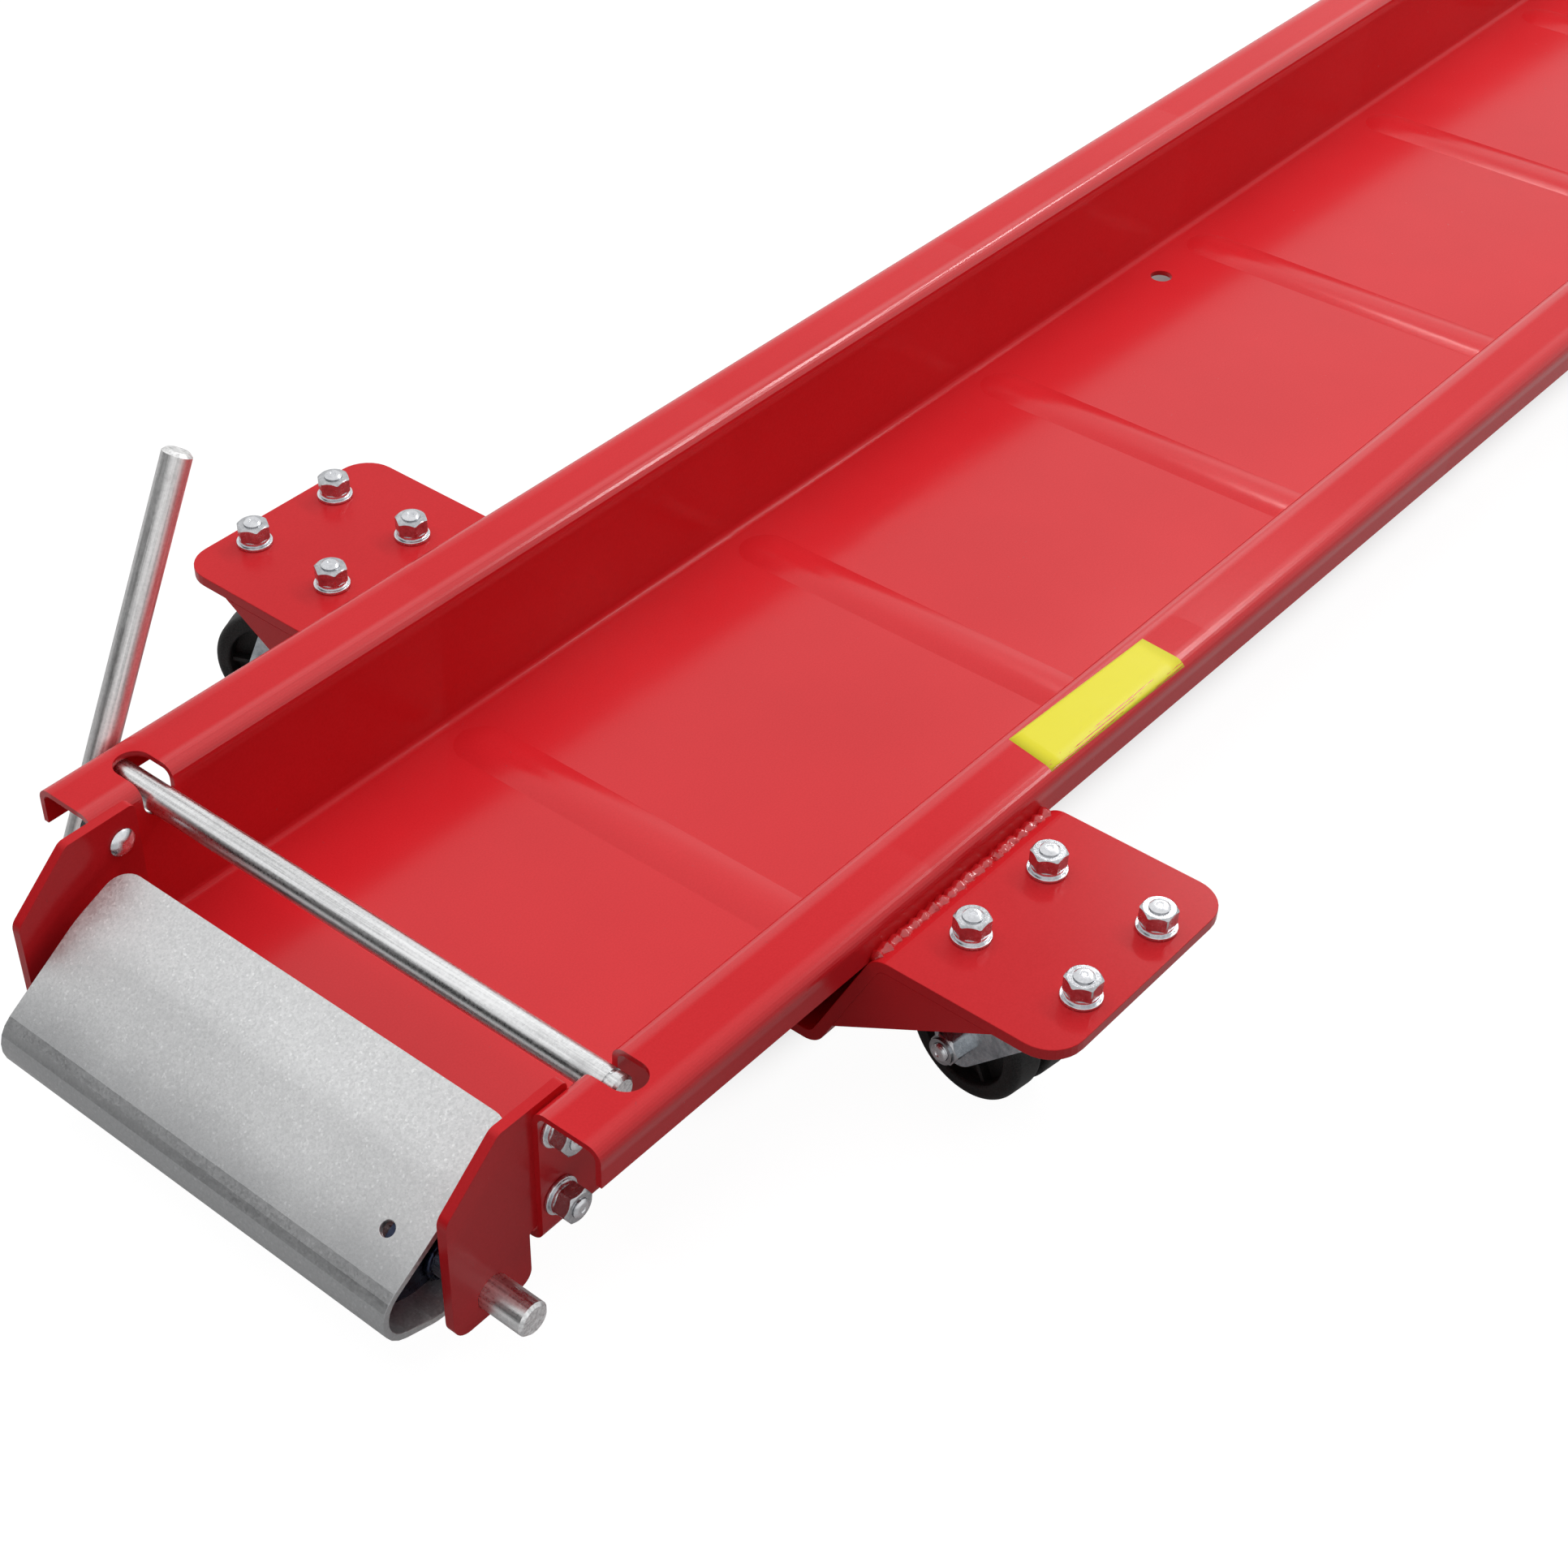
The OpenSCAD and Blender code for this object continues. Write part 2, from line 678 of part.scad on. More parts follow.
// Mounting plate with the upper race and its skirt pressed below it
module caster_plate() {
    race_low = ball_z + race_gap;
    color(zinc) difference() {
        union() {
            translate([0, 0, plate_under]) linear_extrude(plate_t)
                polygon(rounded([for (c = [[1, 1], [-1, 1], [-1, -1], [1, -1]])
                    [c[0] * plate_l / 2, c[1] * plate_w / 2, 6]]));
            rotate_extrude()
                polygon([[kingpin_r + 1, plate_under + plate_t / 2], [kingpin_r + 1, race_low + 2],
                         [ball_ring - 6, race_low], [skirt_r - 2, race_low], [skirt_r - 2, ball_z - 2],
                         [skirt_r, ball_z - 2], [skirt_r, race_low + 1], [skirt_r - 2, plate_under],
                         [skirt_r - 2, plate_under + plate_t / 2]]);
        }
        ball_track();
        translate([0, 0, plate_under - caster_h / 2]) cylinder(r = kingpin_r + seat, h = caster_h);
        bolt_pattern() translate([0, 0, plate_under - 1]) cylinder(r = bolt_d / 2 + bolt_slip, h = plate_t + 2);
    }
}

module kingpin() {
    head_top = crown_top - fork_t - near;
    color(zinc) rotate_extrude()
        polygon([[0, head_top - 4], [kingpin_head - 3, head_top - 4], [kingpin_head, head_top - 1.5],
                 [kingpin_head, head_top], [kingpin_r, head_top], [kingpin_r, caster_h - seat],
                 [0, caster_h - seat]]);
}

// Side outline of the fork, from its crown down round the axle
function fork_outline() =
    let (crown_r = skirt_r - 4)
    let (shoulder = crown_top - 9)
    let (boss = [trail, axle_z])
    let (fore = touch([-crown_r, shoulder], boss, axle_boss, -1) - boss)
    let (aft = touch([crown_r + 2, shoulder], boss, axle_boss, 1) - boss)
    let (from = atan2(aft[1], aft[0]))
    let (to = atan2(fore[1], fore[0]))
    let (sweep = to > from ? to - from - 360 : to - from)
    concat(
        [[-crown_r, shoulder], [-crown_r + 4, crown_top], [crown_r - 2, crown_top], [crown_r + 2, shoulder]],
        [for (k = [0 : 3 * corner_steps]) boss + axle_boss * spin([1, 0], from + sweep * k / (3 * corner_steps))]);

// Fork: one sheet folded down on both sides of the wheels, drawn with the trail along X
module fork() {
    crown_r = skirt_r - 4;
    color(zinc) difference() {
        union() {
            intersection() {
                along_x(-crown_r - 1, trail + axle_boss + 1)
                    polygon(strip([[leg_out, 0], [leg_out, crown_top], [-leg_out, crown_top], [-leg_out, 0]],
                                  [0, 6, 6, 0], fork_t));
                along_y(-leg_out - 1, leg_out + 1) polygon(fork_outline());
            }
            rotate_extrude()
                polygon([[kingpin_r + 1, crown_top - fork_t / 2], [crown_r, crown_top - fork_t / 2],
                         [crown_r, ball_z - race_gap], [ball_ring - 5, ball_z - race_gap],
                         [kingpin_r + 1, crown_top]]);
        }
        ball_track();
        translate([0, 0, crown_top - 2 * fork_t]) cylinder(r = kingpin_r + run, h = 4 * ball_r + 4 * fork_t);
        translate([trail, 0, axle_z]) rotate([90, 0, 0])
            cylinder(r = axle_r + seat, h = 3 * leg_out, center = true);
    }
}

// One wheel, with side 1 for the nut's side and -1 for the head's side
module wheel(side) {
    r = wheel_d / 2;
    rim_r = r - 7.5;
    web = [tread_in + 5.5, tread_in + 8];
    color(charcoal) translate([trail, 0, axle_z]) rotate([-90 * side, 0, 0]) difference() {
        union() {
            rotate_extrude()
                polygon(rounded([[rim_r, tread_in, 1], [r, tread_in, 2], [r, tread_out, 3.5], [rim_r, tread_out, 1.2]]));
            translate([0, 0, web[0]]) cylinder(r = rim_r + 1, h = web[1] - web[0]);
            translate([0, 0, near / 2]) cylinder(r = hub_r, h = hub_out - near / 2);
            for (k = [0 : 5]) rotate([0, 0, 60 * k])
                translate([hub_r - 1, -1, web[0] - 3]) cube([rim_r - hub_r + 2, 2, wheel_w - 5.5]);
        }
        cylinder(r = axle_r + run, h = 3 * tread_out, center = true);
    }
}

module axle_bolt() {
    color(zinc) translate([trail, 0, axle_z]) rotate([-90, 0, 0]) {
        translate([0, 0, -leg_out]) bar(bolt_d, 2 * leg_out + lock_nut_h + 1.5, 0.9);
        translate([0, 0, -leg_out]) mirror([0, 0, 1]) hexagon(head_h);
    }
}

// Lock nut with a round collar over its insert
module axle_nut() {
    color(zinc) translate([trail, leg_out, axle_z]) rotate([-90, 0, 0]) difference() {
        union() {
            hexagon(nut_h);
            cylinder(d = nut_af - 1.2, h = lock_nut_h);
        }
        translate([0, 0, -1]) cylinder(r = bolt_d / 2 + seat, h = lock_nut_h + 2);
    }
}

deck_channel();
cross_member(front_x);  // front_cross_member
cross_member(rear_x);  // rear_cross_member
gusset(front_x, 1, -1);  // front_left_gusset_a
gusset(front_x, 1, 1);  // front_left_gusset_b
gusset(front_x, -1, -1);  // front_right_gusset_a
gusset(front_x, -1, 1);  // front_right_gusset_b
gusset(rear_x, 1, -1);  // rear_left_gusset_a
gusset(rear_x, 1, 1);  // rear_left_gusset_b
gusset(rear_x, -1, -1);  // rear_right_gusset_a
gusset(rear_x, -1, 1);  // rear_right_gusset_b
ramp_bracket(1);  // left_ramp_bracket
ramp_bracket(-1);  // right_ramp_bracket
far_wheel_stop();
wall_bolts();
wall_washers();
wall_lock_washers();
wall_nuts();
ramp_flap();
flap_rib(1);  // left_flap_rib
flap_rib(-1);  // right_flap_rib
pivot_shaft();
lever_bar();
stop_rod();
caster_bolts();
caster_washers();
caster_lock_washers();
caster_nuts();
swivel_balls();
at_caster(front_left) caster_plate();  // front_left_plate
at_caster(front_left) kingpin();  // front_left_kingpin
trailing(front_left) fork();  // front_left_fork
trailing(front_left) wheel(1);  // front_left_wheel_a
trailing(front_left) wheel(-1);  // front_left_wheel_b
trailing(front_left) axle_bolt();  // front_left_axle_bolt
trailing(front_left) axle_nut();  // front_left_axle_nut
at_caster(front_right) caster_plate();  // front_right_plate
at_caster(front_right) kingpin();  // front_right_kingpin
trailing(front_right) fork();  // front_right_fork
trailing(front_right) wheel(1);  // front_right_wheel_a
trailing(front_right) wheel(-1);  // front_right_wheel_b
trailing(front_right) axle_bolt();  // front_right_axle_bolt
trailing(front_right) axle_nut();  // front_right_axle_nut
at_caster(rear_left) caster_plate();  // rear_left_plate
at_caster(rear_left) kingpin();  // rear_left_kingpin
trailing(rear_left) fork();  // rear_left_fork
trailing(rear_left) wheel(1);  // rear_left_wheel_a
trailing(rear_left) wheel(-1);  // rear_left_wheel_b
trailing(rear_left) axle_bolt();  // rear_left_axle_bolt
trailing(rear_left) axle_nut();  // rear_left_axle_nut
at_caster(rear_right) caster_plate();  // rear_right_plate
at_caster(rear_right) kingpin();  // rear_right_kingpin
trailing(rear_right) fork();  // rear_right_fork
trailing(rear_right) wheel(1);  // rear_right_wheel_a
trailing(rear_right) wheel(-1);  // rear_right_wheel_b
trailing(rear_right) axle_bolt();  // rear_right_axle_bolt
trailing(rear_right) axle_nut();  // rear_right_axle_nut
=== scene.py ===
"""Finishes, welds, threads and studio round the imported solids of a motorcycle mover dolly."""
import logging
import math
import random
from dataclasses import dataclass
from enum import Enum
from itertools import product
from typing import Iterable, Optional, Union

import bmesh
import bpy
from mathutils import Matrix, Vector, noise


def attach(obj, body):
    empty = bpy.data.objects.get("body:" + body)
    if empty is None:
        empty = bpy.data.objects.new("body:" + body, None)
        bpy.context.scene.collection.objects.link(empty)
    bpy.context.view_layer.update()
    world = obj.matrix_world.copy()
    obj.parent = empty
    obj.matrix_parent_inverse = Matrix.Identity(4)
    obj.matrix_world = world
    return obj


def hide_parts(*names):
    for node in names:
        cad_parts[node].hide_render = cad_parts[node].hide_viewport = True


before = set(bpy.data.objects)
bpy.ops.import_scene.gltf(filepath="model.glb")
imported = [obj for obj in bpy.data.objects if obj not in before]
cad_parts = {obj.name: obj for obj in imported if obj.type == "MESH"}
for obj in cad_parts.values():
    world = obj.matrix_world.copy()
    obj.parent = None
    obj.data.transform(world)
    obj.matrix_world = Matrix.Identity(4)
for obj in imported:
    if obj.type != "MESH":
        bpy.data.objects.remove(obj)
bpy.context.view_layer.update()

log = logging.getLogger("dolly")

Colour = tuple[float, float, float, float]
Triple = tuple[float, float, float]
Pair = tuple[float, float]
Number = Union[float, "Wire"]

MM = 0.001
# Millimetres from the ramp end of the deck's floor to the origin of the frame
MID_X = 1041.8
# Millimetres from the ground to the top of the deck's floor
FLOOR_Z = 41.5
FULL_TURN = 2 * math.pi
QUARTER_TURN = math.pi / 2
MERGE_DISTANCE = 1e-6
# Edges that turn by fewer degrees are shaded smooth, on turned pieces and on weld beads
SMOOTH_TURNED = 35.0
SMOOTH_WELD = 60.0
# Angles under which faces count as one plane, and over which an edge counts as sharp
FLAT_LIMIT = math.radians(0.3)
SHARP_LIMIT = math.radians(38)
# Flat sides round bolts, bars and weld beads
BOLT_SIDES = 28
BAR_SIDES = 36
BEAD_SIDES = 9
SIGNS = (-1, 1)
SIDES = (("left", 1), ("right", -1))


class Slot(Enum):
    """Material slots of the record, named here but not given to any piece."""

    RED_PAINT = "red_paint"
    BRIGHT_ZINC = "bright_zinc"
    DARK_ZINC = "dark_zinc"
    BRIGHT_STEEL = "bright_steel"


class Corner(Enum):
    """Casters, each with its end and side of the deck and its heading in degrees."""

    FRONT_LEFT = (-1, 1, 114.0)
    FRONT_RIGHT = (-1, -1, 82.3)
    REAR_LEFT = (1, 1, 262.0)
    REAR_RIGHT = (1, -1, 246.0)

    @property
    def label(self) -> str:
        """Name of the corner as the nodes spell it."""
        return self.name.lower()


def on_deck(x: float, y: float, z: float) -> Vector:
    """Turns millimetres from the ramp end of the deck floor into metres in the shared frame.

    Args:
        x: distance from the ramp end, towards the far end.
        y: distance to the left of the centreline.
        z: height above the deck floor.

    Returns:
        The point in metres.
    """
    return Vector((x - MID_X, y, z + FLOOR_Z)) * MM


class Wire:
    """Value of one socket in a material, used like a number in an expression."""

    def __init__(self, paint: "Paint", socket: bpy.types.NodeSocket) -> None:
        """Keeps the socket and the material that it belongs to."""
        self.paint = paint
        self.socket = socket

    def _maths(self, operation: str, first: Number, second: Number) -> "Wire":
        """Adds one Math node and returns its value."""
        return self.paint.node("ShaderNodeMath", {"operation": operation}, {0: first, 1: second})

    def __add__(self, other: Number) -> "Wire":
        """Sum."""
        return self._maths("ADD", self, other)

    __radd__ = __add__

    def __sub__(self, other: Number) -> "Wire":
        """Difference."""
        return self._maths("SUBTRACT", self, other)

    def __rsub__(self, other: Number) -> "Wire":
        """Difference taken from the other value."""
        return self._maths("SUBTRACT", other, self)

    def __mul__(self, other: Number) -> "Wire":
        """Product."""
        return self._maths("MULTIPLY", self, other)

    __rmul__ = __mul__

    def __truediv__(self, other: Number) -> "Wire":
        """Quotient."""
        return self._maths("DIVIDE", self, other)

    def alone(self, operation: str) -> "Wire":
        """Result of a Math node that takes this value only."""
        return self.paint.node("ShaderNodeMath", {"operation": operation}, {0: self})

    def above(self, limit: float, soft: float) -> "Wire":
        """Ramps from 0 to 1 as the value passes a limit.

        Args:
            limit: value at which the result starts to rise.
            soft: rise of the value over which the result reaches 1.

        Returns:
            The clamped result.
        """
        return self.paint.node(
            "ShaderNodeMapRange", {"interpolation_type": "SMOOTHSTEP"},
            {"Value": self, "From Min": limit, "From Max": limit + soft})

    def between(self, low: float, high: float, rise: float, fall: float) -> "Wire":
        """Ramps up past the low limit, over the rise, and down past the high one, over the fall."""
        return self.above(low, rise) * (1.0 - self.above(high, fall))


class Paint:
    """One material, or the world, that is being put together."""

    def __init__(self, name: str, kind: str = "materials") -> None:
        """Starts an empty one of its kind, materials or worlds."""
        self.block = getattr(bpy.data, kind).new(name)
        self.block.use_nodes = True
        self.tree = self.block.node_tree
        self.tree.nodes.clear()

    def node(self, kind: str, settings: Optional[dict] = None, links: Optional[dict] = None,
             out: Union[int, str] = 0) -> Wire:
        """Adds a node.

        Args:
            kind: Blender's type name of the node.
            settings: properties of the node, set before its sockets.
            links: values or wires for its input sockets, by name or place.
            out: output socket to hand back.

        Returns:
            The wire of the chosen output.
        """
        made = self.tree.nodes.new(kind)
        for key, value in (settings or {}).items():
            setattr(made, key, value)
        for key, value in (links or {}).items():
            if isinstance(value, Wire):
                self.tree.links.new(value.socket, made.inputs[key])
            else:
                made.inputs[key].default_value = value
        return Wire(self, made.outputs[out])

    def place(self) -> Wire:
        """Object coordinates, in metres."""
        return self.node("ShaderNodeTexCoord", out="Object")

    def noise(self, at: Wire, scale: float, detail: float = 2.0, roughness: float = 0.5) -> Wire:
        """Noise from 0 to 1 at so many grains to the metre."""
        return self.node("ShaderNodeTexNoise", {}, {
            "Vector": at, "Scale": scale, "Detail": detail, "Roughness": roughness})

    def cells(self, at: Wire, scale: float) -> Wire:
        """Random value of each cell of a fine crystal pattern."""
        colour = self.node(
            "ShaderNodeTexVoronoi", {}, {"Vector": at, "Scale": scale}, out="Color")
        return self.node("ShaderNodeSeparateColor", {}, {0: colour})

    @staticmethod
    def varied(middle: float, *parts: tuple[Wire, float]) -> Wire:
        """Value that patterns from 0 to 1 push to both sides of its middle.

        Args:
            middle: value where every pattern is at a half.
            *parts: patterns, each with the full width of its push.

        Returns:
            The varied value.
        """
        total: Optional[Wire] = None
        for pattern, push in parts:
            swing = (pattern - 0.5) * push
            total = total + swing if total else swing
        return total + middle

    def along(self, at: Wire, axis: str) -> Wire:
        """One coordinate of a place."""
        return self.node("ShaderNodeSeparateXYZ", {}, {0: at}, out=axis)

    def stretch(self, at: Wire, by: Triple) -> Wire:
        """Coordinates scaled by a different amount along each axis."""
        return self.node("ShaderNodeVectorMath", {"operation": "MULTIPLY"}, {0: at, 1: by})

    def mix(self, factor: Number, low: Union[Colour, Wire], high: Union[Colour, Wire]) -> Wire:
        """Colour between two others, through the colour sockets 6 and 7 of a Mix node."""
        return self.node(
            "ShaderNodeMix", {"data_type": "RGBA"}, {0: factor, 6: low, 7: high}, out=2)

    def bump(self, height: Wire, depth: float, under: Optional[Wire] = None) -> Wire:
        """Normal of a surface with a relief.

        Args:
            height: relief, about 0 to 1.
            depth: metres between 0 and 1.
            under: normal that the relief lies on, or the mesh's own.

        Returns:
            The bent normal.
        """
        links = {"Strength": 1.0, "Distance": depth, "Height": height}
        if under:
            links["Normal"] = under
        return self.node("ShaderNodeBump", {}, links)

    def finish(self, **sockets: Union[Number, Colour]) -> bpy.types.Material:
        """Closes the material with a Principled shader.

        Args:
            **sockets: values or wires by socket name, with underscores for spaces.

        Returns:
            The finished material.
        """
        links = {key.replace("_", " "): value for key, value in sockets.items()}
        surface = self.node("ShaderNodeBsdfPrincipled", {}, links)
        self.node_output(surface)
        return self.block

    def node_output(self, surface: Wire, kind: str = "ShaderNodeOutputMaterial") -> None:
        """Joins a shader to the output."""
        output = self.tree.nodes.new(kind)
        self.tree.links.new(surface.socket, output.inputs["Surface"])


@dataclass(frozen=True)
class Enamel:
    """Glossy sprayed paint with orange peel and dust specks.

    On the deck it also bows between the floor's beads and has clear lacquer: a coat that has
    pooled in the trough, thinner towards the far end, and one on each bend of the flanges.
    """

    name: str
    deep: Colour = (0.60, 0.013, 0.018, 1.0)
    bright: Colour = (0.70, 0.021, 0.028, 1.0)
    speck: Colour = (0.30, 0.004, 0.006, 1.0)
    gloss: float = 0.23
    peel: float = 0.00002
    peel_scale: float = 420.0
    specular: float = 0.14
    bow: float = 0.0
    bow_first: float = 188.0
    bow_pitch: float = 193.0
    clear: float = 0.0
    clear_rough: float = 0.16
    trough: float = 112.0
    trough_depth: float = 58.0
    edge: float = 0.002
    thins_from: float = -0.9
    thins_over: float = 1.1
    thinned: float = 0.65
    outer_bend: float = 0.1375
    outer_coat: float = 0.4
    inner_bend: Pair = (0.1135, 0.1215)
    inner_rise: float = 0.001
    inner_coat: float = 0.8
    bend_fade: float = 0.003
    bend_depth: float = 56.0

    def make(self) -> bpy.types.Material:
        """Builds the material."""
        paint = Paint(self.name)
        at = paint.place()
        cloud = paint.noise(at, 11.0, 3.0)
        grain = paint.noise(at, 1300.0, 2.0)
        tone = paint.varied(0.5, (cloud, 0.9), (grain, 1.1))
        colour = paint.mix(tone, self.deep, self.bright)
        dust = paint.noise(at, 260.0, 4.0, 0.7).above(0.69, 0.05)
        colour = paint.mix(dust * 0.35, colour, self.speck)
        rough = paint.varied(self.gloss, (cloud, 0.09), (grain, 0.06)) + dust * 0.15
        normal = paint.bump(paint.noise(at, self.peel_scale, 1.5), self.peel)
        if self.bow:
            x = paint.along(at, "X") + (MID_X - self.bow_first) * MM
            bay = (x / (self.bow_pitch * MM)).alone("FRACT")
            normal = paint.bump(bay * (1.0 - bay) * 4.0, self.bow, normal)
        coat = self._lacquer(paint, at) if self.clear else 0.0
        return paint.finish(
            Base_Color=colour, Roughness=rough, Normal=normal, Coat_Weight=coat,
            Coat_Roughness=self.clear_rough, Specular_IOR_Level=self.specular)

    def _lacquer(self, paint: Paint, at: Wire) -> Wire:
        """Share of clear lacquer in the trough and on the flanges' bends."""
        y = paint.along(at, "Y")
        z = paint.along(at, "Z")
        side = self.trough * MM
        inside = y.between(-side, side - self.edge, self.edge, self.edge)
        low = 1.0 - z.above((FLOOR_Z + self.trough_depth) * MM, self.edge)
        far_off = paint.along(at, "X").above(self.thins_from, self.thins_over)
        thin = 1.0 - far_off * self.thinned
        across = y.alone("ABSOLUTE")
        outer = across.above(self.outer_bend, self.bend_fade) * self.outer_coat
        inner = across.between(*self.inner_bend, self.inner_rise, self.bend_fade) * self.inner_coat
        high = z.above((FLOOR_Z + self.bend_depth) * MM, self.edge)
        return inside * low * thin * self.clear + (outer + inner) * high


@dataclass(frozen=True)
class Zinc:
    """Bright zinc plate with soft clouds and fine pits."""

    name: str
    dull: Colour = (0.50, 0.51, 0.54, 1.0)
    bright: Colour = (0.78, 0.79, 0.81, 1.0)
    rough: float = 0.24
    grain: float = 700.0

    def make(self) -> bpy.types.Material:
        """Builds the material."""
        paint = Paint(self.name)
        at = paint.place()
        cloud = paint.noise(at, 95.0, 3.0)
        fine = paint.noise(at, self.grain, 3.0, 0.6)
        colour = paint.mix(paint.varied(0.55, (cloud, 1.4), (fine, 1.3)), self.dull, self.bright)
        rough = paint.varied(self.rough, (cloud, 0.25), (fine, 0.2))
        normal = paint.bump(fine, 0.00002)
        return paint.finish(Base_Color=colour, Metallic=1.0, Roughness=rough, Normal=normal)


@dataclass(frozen=True)
class SpangledZinc:
    """Satin zinc sheet whose fine crystals catch the light, with painted shade darkening it towards
    the ramp's nose.
    """

    name: str
    dull: Colour = (0.52, 0.525, 0.53, 1.0)
    bright: Colour = (0.80, 0.805, 0.81, 1.0)
    spark: Colour = (0.93, 0.935, 0.94, 1.0)
    # Colour of the painted shade at the ramp's nose
    scuff: Colour = (0.22, 0.225, 0.235, 1.0)
    rough: float = 0.42
    metallic: float = 0.72
    nose_x: float = -1.106
    nose_fade: float = 0.026

    def make(self) -> bpy.types.Material:
        """Builds the material."""
        paint = Paint(self.name)
        at = paint.place()
        cloud = paint.noise(at, 16.0, 3.0)
        fine = paint.noise(at, 900.0, 3.0, 0.65)
        crystal = paint.cells(at, 1100.0)
        tone = paint.varied(0.55, (cloud, 0.5), (fine, 0.9), (crystal, 0.5))
        colour = paint.mix(tone, self.dull, self.bright)
        glint = crystal.above(0.93, 0.03) * fine.above(0.45, 0.15)
        colour = paint.mix(glint * 0.5, colour, self.spark)
        # Painted shade: the sheet turns darker towards the nose, at low X, along a cloudy edge
        back = paint.along(at, "X") + (cloud - 0.5) * 0.02
        nose_shade = 1.0 - back.above(self.nose_x, self.nose_fade)
        colour = paint.mix(nose_shade * 0.5, colour, self.scuff)
        rough = paint.varied(self.rough, (crystal, 0.16), (cloud, 0.1)) - glint * 0.1
        normal = paint.bump(fine, 0.00005)
        return paint.finish(
            Base_Color=colour, Metallic=self.metallic, Roughness=rough, Normal=normal)


@dataclass(frozen=True)
class DrawnBar:
    """Bright drawn bar with streaks along its length."""

    name: str
    stretch: Triple
    lean: float = 0.0
    rough: float = 0.3
    metallic: float = 1.0
    dark: Colour = (0.32, 0.325, 0.33, 1.0)
    bright: Colour = (0.88, 0.885, 0.89, 1.0)

    def make(self) -> bpy.types.Material:
        """Builds the material."""
        paint = Paint(self.name)
        at = paint.place()
        if self.lean:
            at = paint.node("ShaderNodeVectorRotate", {"rotation_type": "Y_AXIS"},
                            {"Vector": at, "Angle": -self.lean})
        line = paint.stretch(at, self.stretch)
        streak = paint.noise(line, 1.0, 3.0, 0.6)
        scratch = paint.noise(line, 3.5, 2.0, 0.7).above(0.60, 0.10)
        fine = paint.noise(at, 850.0, 3.0, 0.6)
        stain = paint.noise(at, 60.0, 4.0, 0.6).above(0.56, 0.16)
        tone = paint.varied(0.72, (streak, 2.0), (fine, 0.8))
        colour = paint.mix(tone, self.dark, self.bright)
        colour = paint.mix(scratch * 0.45 + stain * 0.2, colour, self.dark)
        rough = paint.varied(self.rough, (streak, 0.3), (fine, 0.2)) + stain * 0.12
        normal = paint.bump(streak + fine * 0.4, 0.00003)
        return paint.finish(
            Base_Color=colour, Metallic=self.metallic, Roughness=rough, Normal=normal)


@dataclass(frozen=True)
class Moulded:
    """Satin moulded plastic with road dust in its grain."""

    name: str
    base: Colour = (0.015, 0.015, 0.0155, 1.0)
    dust: Colour = (0.062, 0.062, 0.061, 1.0)
    rough: float = 0.5
    specular: float = 0.15

    def make(self) -> bpy.types.Material:
        """Builds the material."""
        paint = Paint(self.name)
        at = paint.place()
        cloud = paint.noise(at, 70.0, 3.0)
        grain = paint.noise(at, 1500.0, 2.0, 0.6)
        colour = paint.mix(
            paint.varied(0.35, (cloud, 1.2), (grain, 1.8)), self.base, self.dust)
        rough = paint.varied(self.rough, (grain, 0.2), (cloud, 0.2))
        normal = paint.bump(grain, 0.00004)
        return paint.finish(Base_Color=colour, Roughness=rough, Normal=normal,
                            Specular_IOR_Level=self.specular)


@dataclass(frozen=True)
class LabelFilm:
    """Printed film with a satin face and a few scuffs."""

    name: str
    colour: Colour = (0.89, 0.80, 0.012, 1.0)
    worn: Colour = (0.80, 0.72, 0.08, 1.0)
    rough: float = 0.36
    scratches: Triple = (260.0, 1500.0, 1500.0)

    def make(self) -> bpy.types.Material:
        """Builds the material."""
        paint = Paint(self.name)
        at = paint.place()
        cloud = paint.noise(at, 120.0, 3.0)
        scuff = paint.noise(paint.stretch(at, self.scratches), 1.0, 3.0, 0.7).above(0.62, 0.1)
        colour = paint.mix(scuff * 0.5 + (cloud - 0.5) * 0.3, self.colour, self.worn)
        rough = paint.varied(self.rough, (cloud, 0.1)) + scuff * 0.2
        normal = paint.bump(paint.noise(at, 500.0), 0.000012)
        return paint.finish(Base_Color=colour, Roughness=rough, Normal=normal)


def hung(name: str, mesh: bmesh.types.BMesh, material: bpy.types.Material) -> bpy.types.Object:
    """Turns a mesh into an object of the scene, with its finish, and frees the mesh."""
    data = bpy.data.meshes.new(name)
    mesh.to_mesh(data)
    mesh.free()
    data.materials.append(material)
    made = bpy.data.objects.new(name, data)
    bpy.context.scene.collection.objects.link(made)
    return made


def edges_at(points: Iterable[bmesh.types.BMVert]) -> list[bmesh.types.BMEdge]:
    """Edges at some points, each once and in the same order on every run."""
    return list(dict.fromkeys(edge for point in points for edge in point.link_edges))


